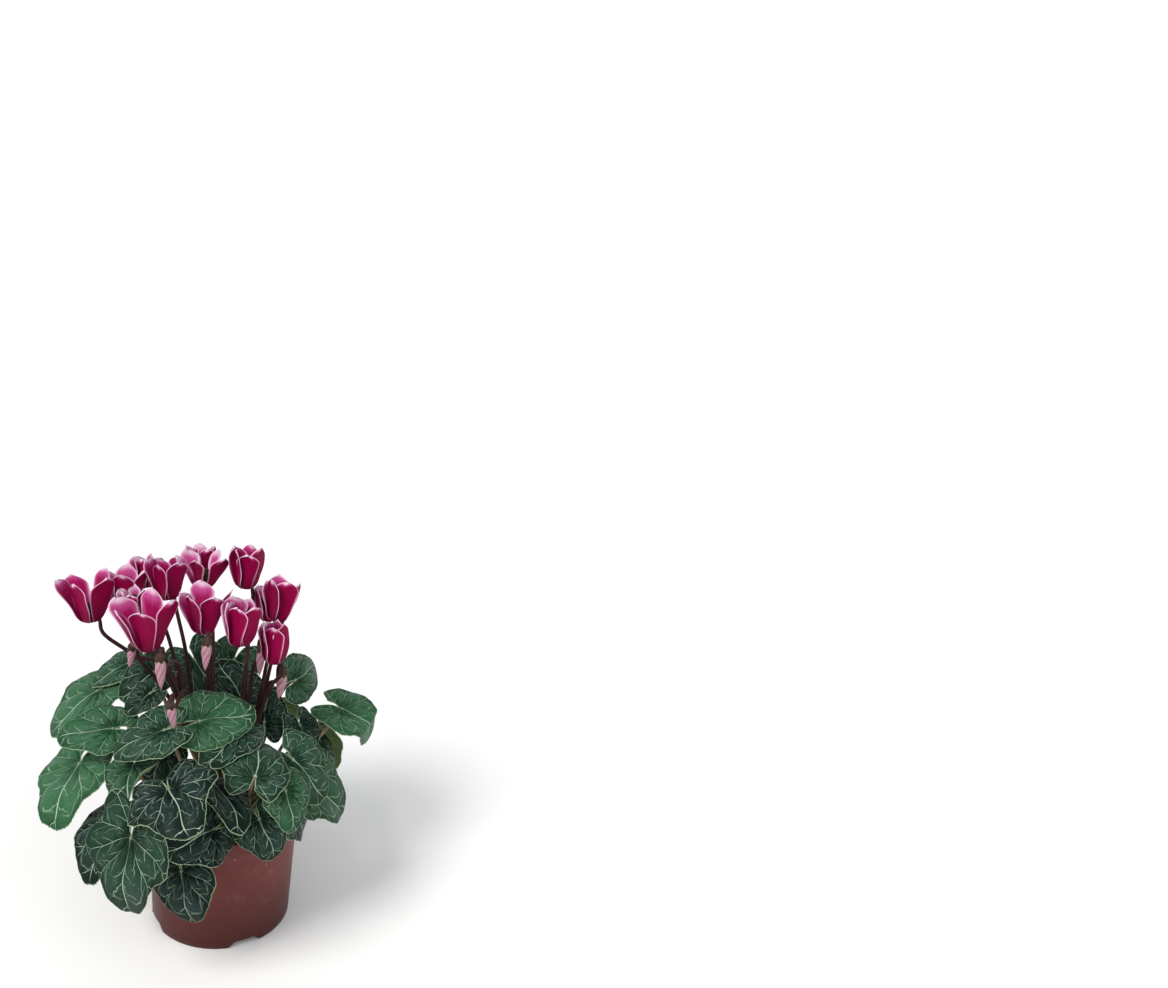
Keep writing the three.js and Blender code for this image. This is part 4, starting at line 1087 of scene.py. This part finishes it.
def pot_finish(settings):
    """Satin moulded plastic of a brick colour, with painted shade that darkens it low down: a fine uneven
    skin, faint lines that run round the pot, dust, scuffs and a few dark specks."""
    worn, dusty, scuffed = (0.28, 0.12, 0.09), (0.45, 0.33, 0.28), (0.50, 0.34, 0.30)
    # The second colour on the next line is painted shade for the pot's foot
    dirt, painted_shade_brick = (0.02, 0.012, 0.010), (0.048, 0.011, 0.010)
    f = Finish("pot_plastic")
    place = f.place()
    cloud = f.cloud(place, 26.0, 4.0, 0.6)
    peel = f.cloud(place, 1400.0, 2.0)
    rings = f.cloud(f.moved(place, (0.02, 0.02, 1.0)), 520.0, 3.0, 0.7)
    dust = f.smooth(f.cloud(place, 75.0, 6.0, 0.75), 0.56, 0.74)
    scratch = f.smooth(f.cloud(f.moved(place, (1.0, 1.0, 0.25), (0.3, 0.1, 0.2)), 330.0, 2.0), 0.70, 0.76)
    speck = f.smooth(f.cells(place, 85.0, "F1"), 0.055, 0.03)
    # Painted shade: a mask that darkens the plastic towards the pot's foot
    low = f.smooth(f.along(place, "Z") + 0.02 * cloud, 0.075, 0.005)
    colour = f.blend(f.smooth(cloud, 0.35, 0.7), settings.plastic, settings.plastic_dark)
    colour = f.blend(0.10 * rings, colour, worn)
    colour = f.blend(0.16 * dust, colour, dusty)
    colour = f.blend(0.35 * scratch, colour, scuffed)
    colour = f.blend(0.85 * speck, colour, dirt)
    # Painted shade blended in low down on the pot
    colour = f.blend(0.9 * low, colour, painted_shade_brick)
    rough = 0.36 + 0.12 * cloud + 0.16 * dust + 0.1 * scratch
    height = 0.25 * peel + 0.35 * rings + 0.2 * scratch
    return f.surface(colour, rough, height, 0.00012, {"Specular IOR Level": 0.15})


def soil_finish(settings):
    """Dark, damp peat with paler fibres, grit and crumbs."""
    brown_grit, dry_fibre, dry_crumb = (0.075, 0.048, 0.030), (0.20, 0.13, 0.075), (0.15, 0.10, 0.07)
    f = Finish("peat")
    place, crumb = f.place(), f.mark("crumb")
    grit = f.cloud(place, 700.0, 5.0, 0.7)
    patch = f.cloud(place, 90.0, 3.0)
    fibre = f.smooth(f.cloud(f.moved(place, (1.0, 0.15, 1.0)), 900.0, 2.0), 0.66, 0.74)
    colour = f.blend(grit, settings.peat, brown_grit)
    colour = f.blend(0.5 * fibre, colour, dry_fibre)
    colour = f.blend(0.3 * crumb * patch, colour, dry_crumb)
    return f.surface(colour, 0.82 + 0.12 * grit, grit + 0.5 * patch, 0.0007)


def floor_finish(settings):
    """A plain pale floor with the least unevenness."""
    f = Finish("floor")
    duller = [0.985 * c for c in settings.floor]
    colour = f.blend(f.cloud(f.place(), 3.0, 2.0), settings.floor, duller)
    return f.surface(colour, 0.85, constants={"Specular IOR Level": 0.1})


# What a user may change

def length(name, text, default, most=1.0):
    """A length in metres that a user may change."""
    return bpy.props.FloatProperty(name=name, description=text, default=default, min=0.0, max=most,
                                   precision=5, subtype="DISTANCE", unit="LENGTH")


def paint(name, text, default):
    """A colour that a user may change."""
    return bpy.props.FloatVectorProperty(name=name, description=text, default=default, size=3, min=0.0,
                                         max=1.0, subtype="COLOR")


def strength(name, text, default):
    """The strength of a light, which a user may change."""
    return bpy.props.FloatProperty(name=name, description=text, default=default, min=0.0)


class PotSettings(bpy.types.PropertyGroup):
    """Sizes and colours of the pot and the soil"""

    rim_radius: length("Rim radius", "Outer radius of the pot's rim", 0.0525)
    body_radius: length("Body radius", "Outer radius of the body under the collar", 0.0496)
    foot_radius: length("Foot radius", "Outer radius at the foot", 0.047)
    height: length("Height", "Height of the pot", 0.09)
    collar_height: length("Collar height", "Height of the wider collar at the rim", 0.01)
    wall: length("Wall", "Thickness of the wall", 0.0014)
    soil_level: length("Soil level", "Height of the soil over the underside", 0.0775)
    plastic: paint("Plastic", "Main colour of the pot", (0.140, 0.034, 0.029))
    plastic_dark: paint("Darker plastic", "Colour of its darker clouds", (0.108, 0.025, 0.022))
    peat: paint("Peat", "Colour of the damp soil", (0.018, 0.011, 0.008))


class LeafSettings(bpy.types.PropertyGroup):
    """Sizes and colours of the leaves"""

    blade: length("Blade", "Thickness of a leaf", 0.0007)
    tooth_depth: length("Teeth", "Depth of the teeth along the edge", 0.0004)
    dome: length("Quilting", "Height of the domes between the main veins", 0.0011)
    vein_depth: length("Vein depth", "Depth of the main veins", 0.0012)
    stalk_radius: length("Stalk radius", "Radius of a leaf stalk", 0.0012)
    deep: paint("Deep green", "Colour of the darkest leaves", (0.0022, 0.0095, 0.0070))
    fresh: paint("Fresh green", "Colour of the brightest leaves", (0.025, 0.097, 0.038))
    vein: paint("Vein", "Colour of the veins", (0.38, 0.53, 0.39))
    underside: paint("Underside", "Colour of the underside", (0.15, 0.21, 0.085))
    stalk_low: paint("Lower stalk", "Colour of a stalk near the tuber", (0.20, 0.20, 0.08))
    stalk_high: paint("Upper stalk", "Colour of a stalk near its blade", (0.17, 0.075, 0.055))


class FlowerSettings(bpy.types.PropertyGroup):
    """Sizes and colours of the flowers and the buds"""

    petal: length("Petal", "Thickness of a petal", 0.0006)
    ruffle: length("Ruffle", "How far a petal's edge waves", 0.0013)
    crimson: paint("Crimson", "Colour of a petal's outer face", (0.24, 0.0006, 0.044))
    dark: paint("Dark crimson", "Colour towards the mouth", (0.10, 0.0003, 0.017))
    rose: paint("Rose", "Colour of a petal's inner face", (0.36, 0.007, 0.12))
    blush: paint("Blush", "Colour between the rose and the white edge", (0.55, 0.10, 0.32))
    edge: paint("Edge", "Colour of the edge", (0.78, 0.60, 0.72))
    bud_pale: paint("Bud", "Colour of a bud's folds", (0.40, 0.235, 0.285))


class StemSettings(bpy.types.PropertyGroup):
    """Size and colours of the stems"""

    stem_radius: length("Stem radius", "Radius of a flower's stem", 0.0011)
    stem_dark: paint("Dark stem", "Darker colour of the stems", (0.018, 0.005, 0.007))
    stem_light: paint("Light stem", "Lighter colour of the stems", (0.050, 0.016, 0.017))


class StageSettings(bpy.types.PropertyGroup):
    """The floor, the light and the camera"""

    floor: paint("Floor", "Colour of the floor", (0.90, 0.90, 0.90))
    key: strength("Key light", "Strength of the key light", 2.5)
    world: strength("Sky", "Strength of the even light", 0.5)
    camera_height: length("Camera height", "Height of the camera", 0.645, 5.0)
    camera_distance: length("Camera distance", "Distance of the camera in front of the pot", 0.8, 5.0)


# Operators

class CYCLAMEN_OT_stage(bpy.types.Operator):
    """Lay the floor, light it softly from the upper left and set the camera"""

    bl_idname = "cyclamen.stage"
    bl_label = "Stage"

    def execute(self, context):
        stage = context.scene.cyclamen_stage
        floor = floor_skin().build("floor", [floor_finish(stage)])
        self.hang_lights(context, stage)
        self.aim_camera(context, stage)
        return {"FINISHED"}

    def hang_lights(self, context, stage):
        """A warm key light from the upper left, a weaker cool one from the front, and an even sky."""
        lights = (
            ("key", (-0.9, -0.75, 1.25), stage.key, 0.38, (1.0, 0.985, 0.96)),
            ("front", (0.5, -1.2, 0.9), 0.3 * stage.key, 0.8, (0.97, 0.985, 1.0)),
        )
        for name, place, energy, angle, tint in lights:
            data = bpy.data.lights.new(name, "SUN")
            data.energy, data.angle, data.color = energy, angle, tint
            lamp = bpy.data.objects.new(name, data)
            lamp.location = place
            lamp.rotation_euler = (-Vector(place)).to_track_quat("-Z", "Y").to_euler()
            context.scene.collection.objects.link(lamp)
        world = bpy.data.worlds.new("studio")
        world.use_nodes = True
        sky = world.node_tree.nodes["Background"].inputs
        sky["Color"].default_value = (0.97, 0.985, 1.0, 1.0)
        sky["Strength"].default_value = stage.world
        context.scene.world = world
        context.scene.view_settings.view_transform = "Standard"

    def aim_camera(self, context, stage):
        """The camera stands in front and above, turned so that the pot lies where the picture has it."""
        film = 36.0
        data = bpy.data.cameras.new("view")
        data.sensor_fit, data.sensor_width = "HORIZONTAL", film
        data.lens = film * FOCAL_PIXELS / PICTURE_WIDE
        camera = bpy.data.objects.new("view", data)
        camera.location = (0, -stage.camera_distance, stage.camera_height)
        right, down = POT_PIXEL
        ray = Vector((right - PICTURE_WIDE / 2, PICTURE_TALL / 2 - down, -FOCAL_PIXELS)).normalized()
        straight = (Vector(POT_MIDDLE) - camera.location).to_track_quat("-Z", "Y")
        camera.rotation_euler = (straight @ ray.rotation_difference(Vector((0, 0, -1)))).to_euler()
        context.scene.collection.objects.link(camera)
        context.scene.camera = camera


class CYCLAMEN_OT_pot(bpy.types.Operator):
    """Make the pot with its collar, raised foot arches and drain holes"""

    bl_idname = "cyclamen.pot"
    bl_label = "Pot"

    def execute(self, context):
        pot = context.scene.cyclamen_pot
        settle(pot_skin(pot).build("pot_moulded", [pot_finish(pot)]), "pot")
        return {"FINISHED"}


class CYCLAMEN_OT_soil(bpy.types.Operator):
    """Fill the pot with soil"""

    bl_idname = "cyclamen.soil"
    bl_label = "Soil"

    def execute(self, context):
        pot = context.scene.cyclamen_pot
        settle(soil_skin(pot).build("soil_peat", [soil_finish(pot)]), "soil")
        return {"FINISHED"}


class CYCLAMEN_OT_crown(bpy.types.Operator):
    """Make the tuber with the stems and calyxes of all flowers and buds"""

    bl_idname = "cyclamen.crown"
    bl_label = "Crown and stems"

    def execute(self, context):
        stems = context.scene.cyclamen_stem
        finishes = [tuber_finish(), stem_finish(stems), calyx_finish()]
        settle(crown_skin(stems).build("crown_stems", finishes), "crown")
        return {"FINISHED"}


class CYCLAMEN_OT_leaves(bpy.types.Operator):
    """Make every leaf with its stalk"""

    bl_idname = "cyclamen.leaves"
    bl_label = "Leaves"

    def execute(self, context):
        sizes = context.scene.cyclamen_leaf
        finishes = [leaf_finish(sizes), stalk_finish(sizes)]
        skins = (leaf_skin(leaf, sizes) for leaf in all_leaves())
        settle_all(skins, finishes, "veined_leaf", "leaf")
        return {"FINISHED"}


class CYCLAMEN_OT_flowers(bpy.types.Operator):
    """Make every open flower"""

    bl_idname = "cyclamen.flowers"
    bl_label = "Flowers"

    def execute(self, context):
        sizes = context.scene.cyclamen_flower
        finishes = [petal_finish(sizes)]
        skins = (flower_skin(flower, sizes) for flower in all_flowers())
        settle_all(skins, finishes, "open_flower", "flower")
        return {"FINISHED"}


class CYCLAMEN_OT_buds(bpy.types.Operator):
    """Make every furled bud"""

    bl_idname = "cyclamen.buds"
    bl_label = "Buds"

    def execute(self, context):
        finishes = [bud_finish(context.scene.cyclamen_flower)]
        skins = (bud_skin(bud) for bud in all_buds())
        settle_all(skins, finishes, "furled_bud", "bud")
        return {"FINISHED"}


class CYCLAMEN_PT_panel(bpy.types.Panel):
    """Sizes, colours and steps of the potted cyclamen"""

    bl_label = "Potted Cyclamen"
    bl_idname = "CYCLAMEN_PT_panel"
    bl_space_type = "VIEW_3D"
    bl_region_type = "UI"
    bl_category = "Cyclamen"

    def draw(self, context):
        for group in SETTINGS:
            box = self.layout.box()
            box.label(text=group[len("cyclamen_"):].capitalize())
            settings = getattr(context.scene, group)
            for key in type(settings).__annotations__:
                box.prop(settings, key)
        for operator in OPERATORS:
            self.layout.operator(operator.bl_idname)


SETTINGS = {
    "cyclamen_stage": StageSettings,
    "cyclamen_pot": PotSettings,
    "cyclamen_stem": StemSettings,
    "cyclamen_leaf": LeafSettings,
    "cyclamen_flower": FlowerSettings,
}
OPERATORS = (
    CYCLAMEN_OT_stage,
    CYCLAMEN_OT_pot,
    CYCLAMEN_OT_soil,
    CYCLAMEN_OT_crown,
    CYCLAMEN_OT_leaves,
    CYCLAMEN_OT_flowers,
    CYCLAMEN_OT_buds,
)


def register():
    """Registers the settings, the operators and the panel, and gives the scene its settings."""
    for group in SETTINGS.values():
        bpy.utils.register_class(group)
    for operator in OPERATORS:
        bpy.utils.register_class(operator)
    bpy.utils.register_class(CYCLAMEN_PT_panel)
    for name, group in SETTINGS.items():
        setattr(bpy.types.Scene, name, bpy.props.PointerProperty(type=group))


def unregister():
    """Undoes what register does, in the opposite order."""
    for name in SETTINGS:
        delattr(bpy.types.Scene, name)
    bpy.utils.unregister_class(CYCLAMEN_PT_panel)
    for operator in reversed(OPERATORS):
        bpy.utils.unregister_class(operator)
    for group in reversed(SETTINGS.values()):
        bpy.utils.unregister_class(group)


def main():
    """Makes the stage and every piece."""
    register()
    bpy.ops.cyclamen.stage()
    bpy.ops.cyclamen.pot()
    bpy.ops.cyclamen.soil()
    bpy.ops.cyclamen.crown()
    bpy.ops.cyclamen.leaves()
    bpy.ops.cyclamen.flowers()
    bpy.ops.cyclamen.buds()
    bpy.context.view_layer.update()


if __name__ == "__main__":
    main()
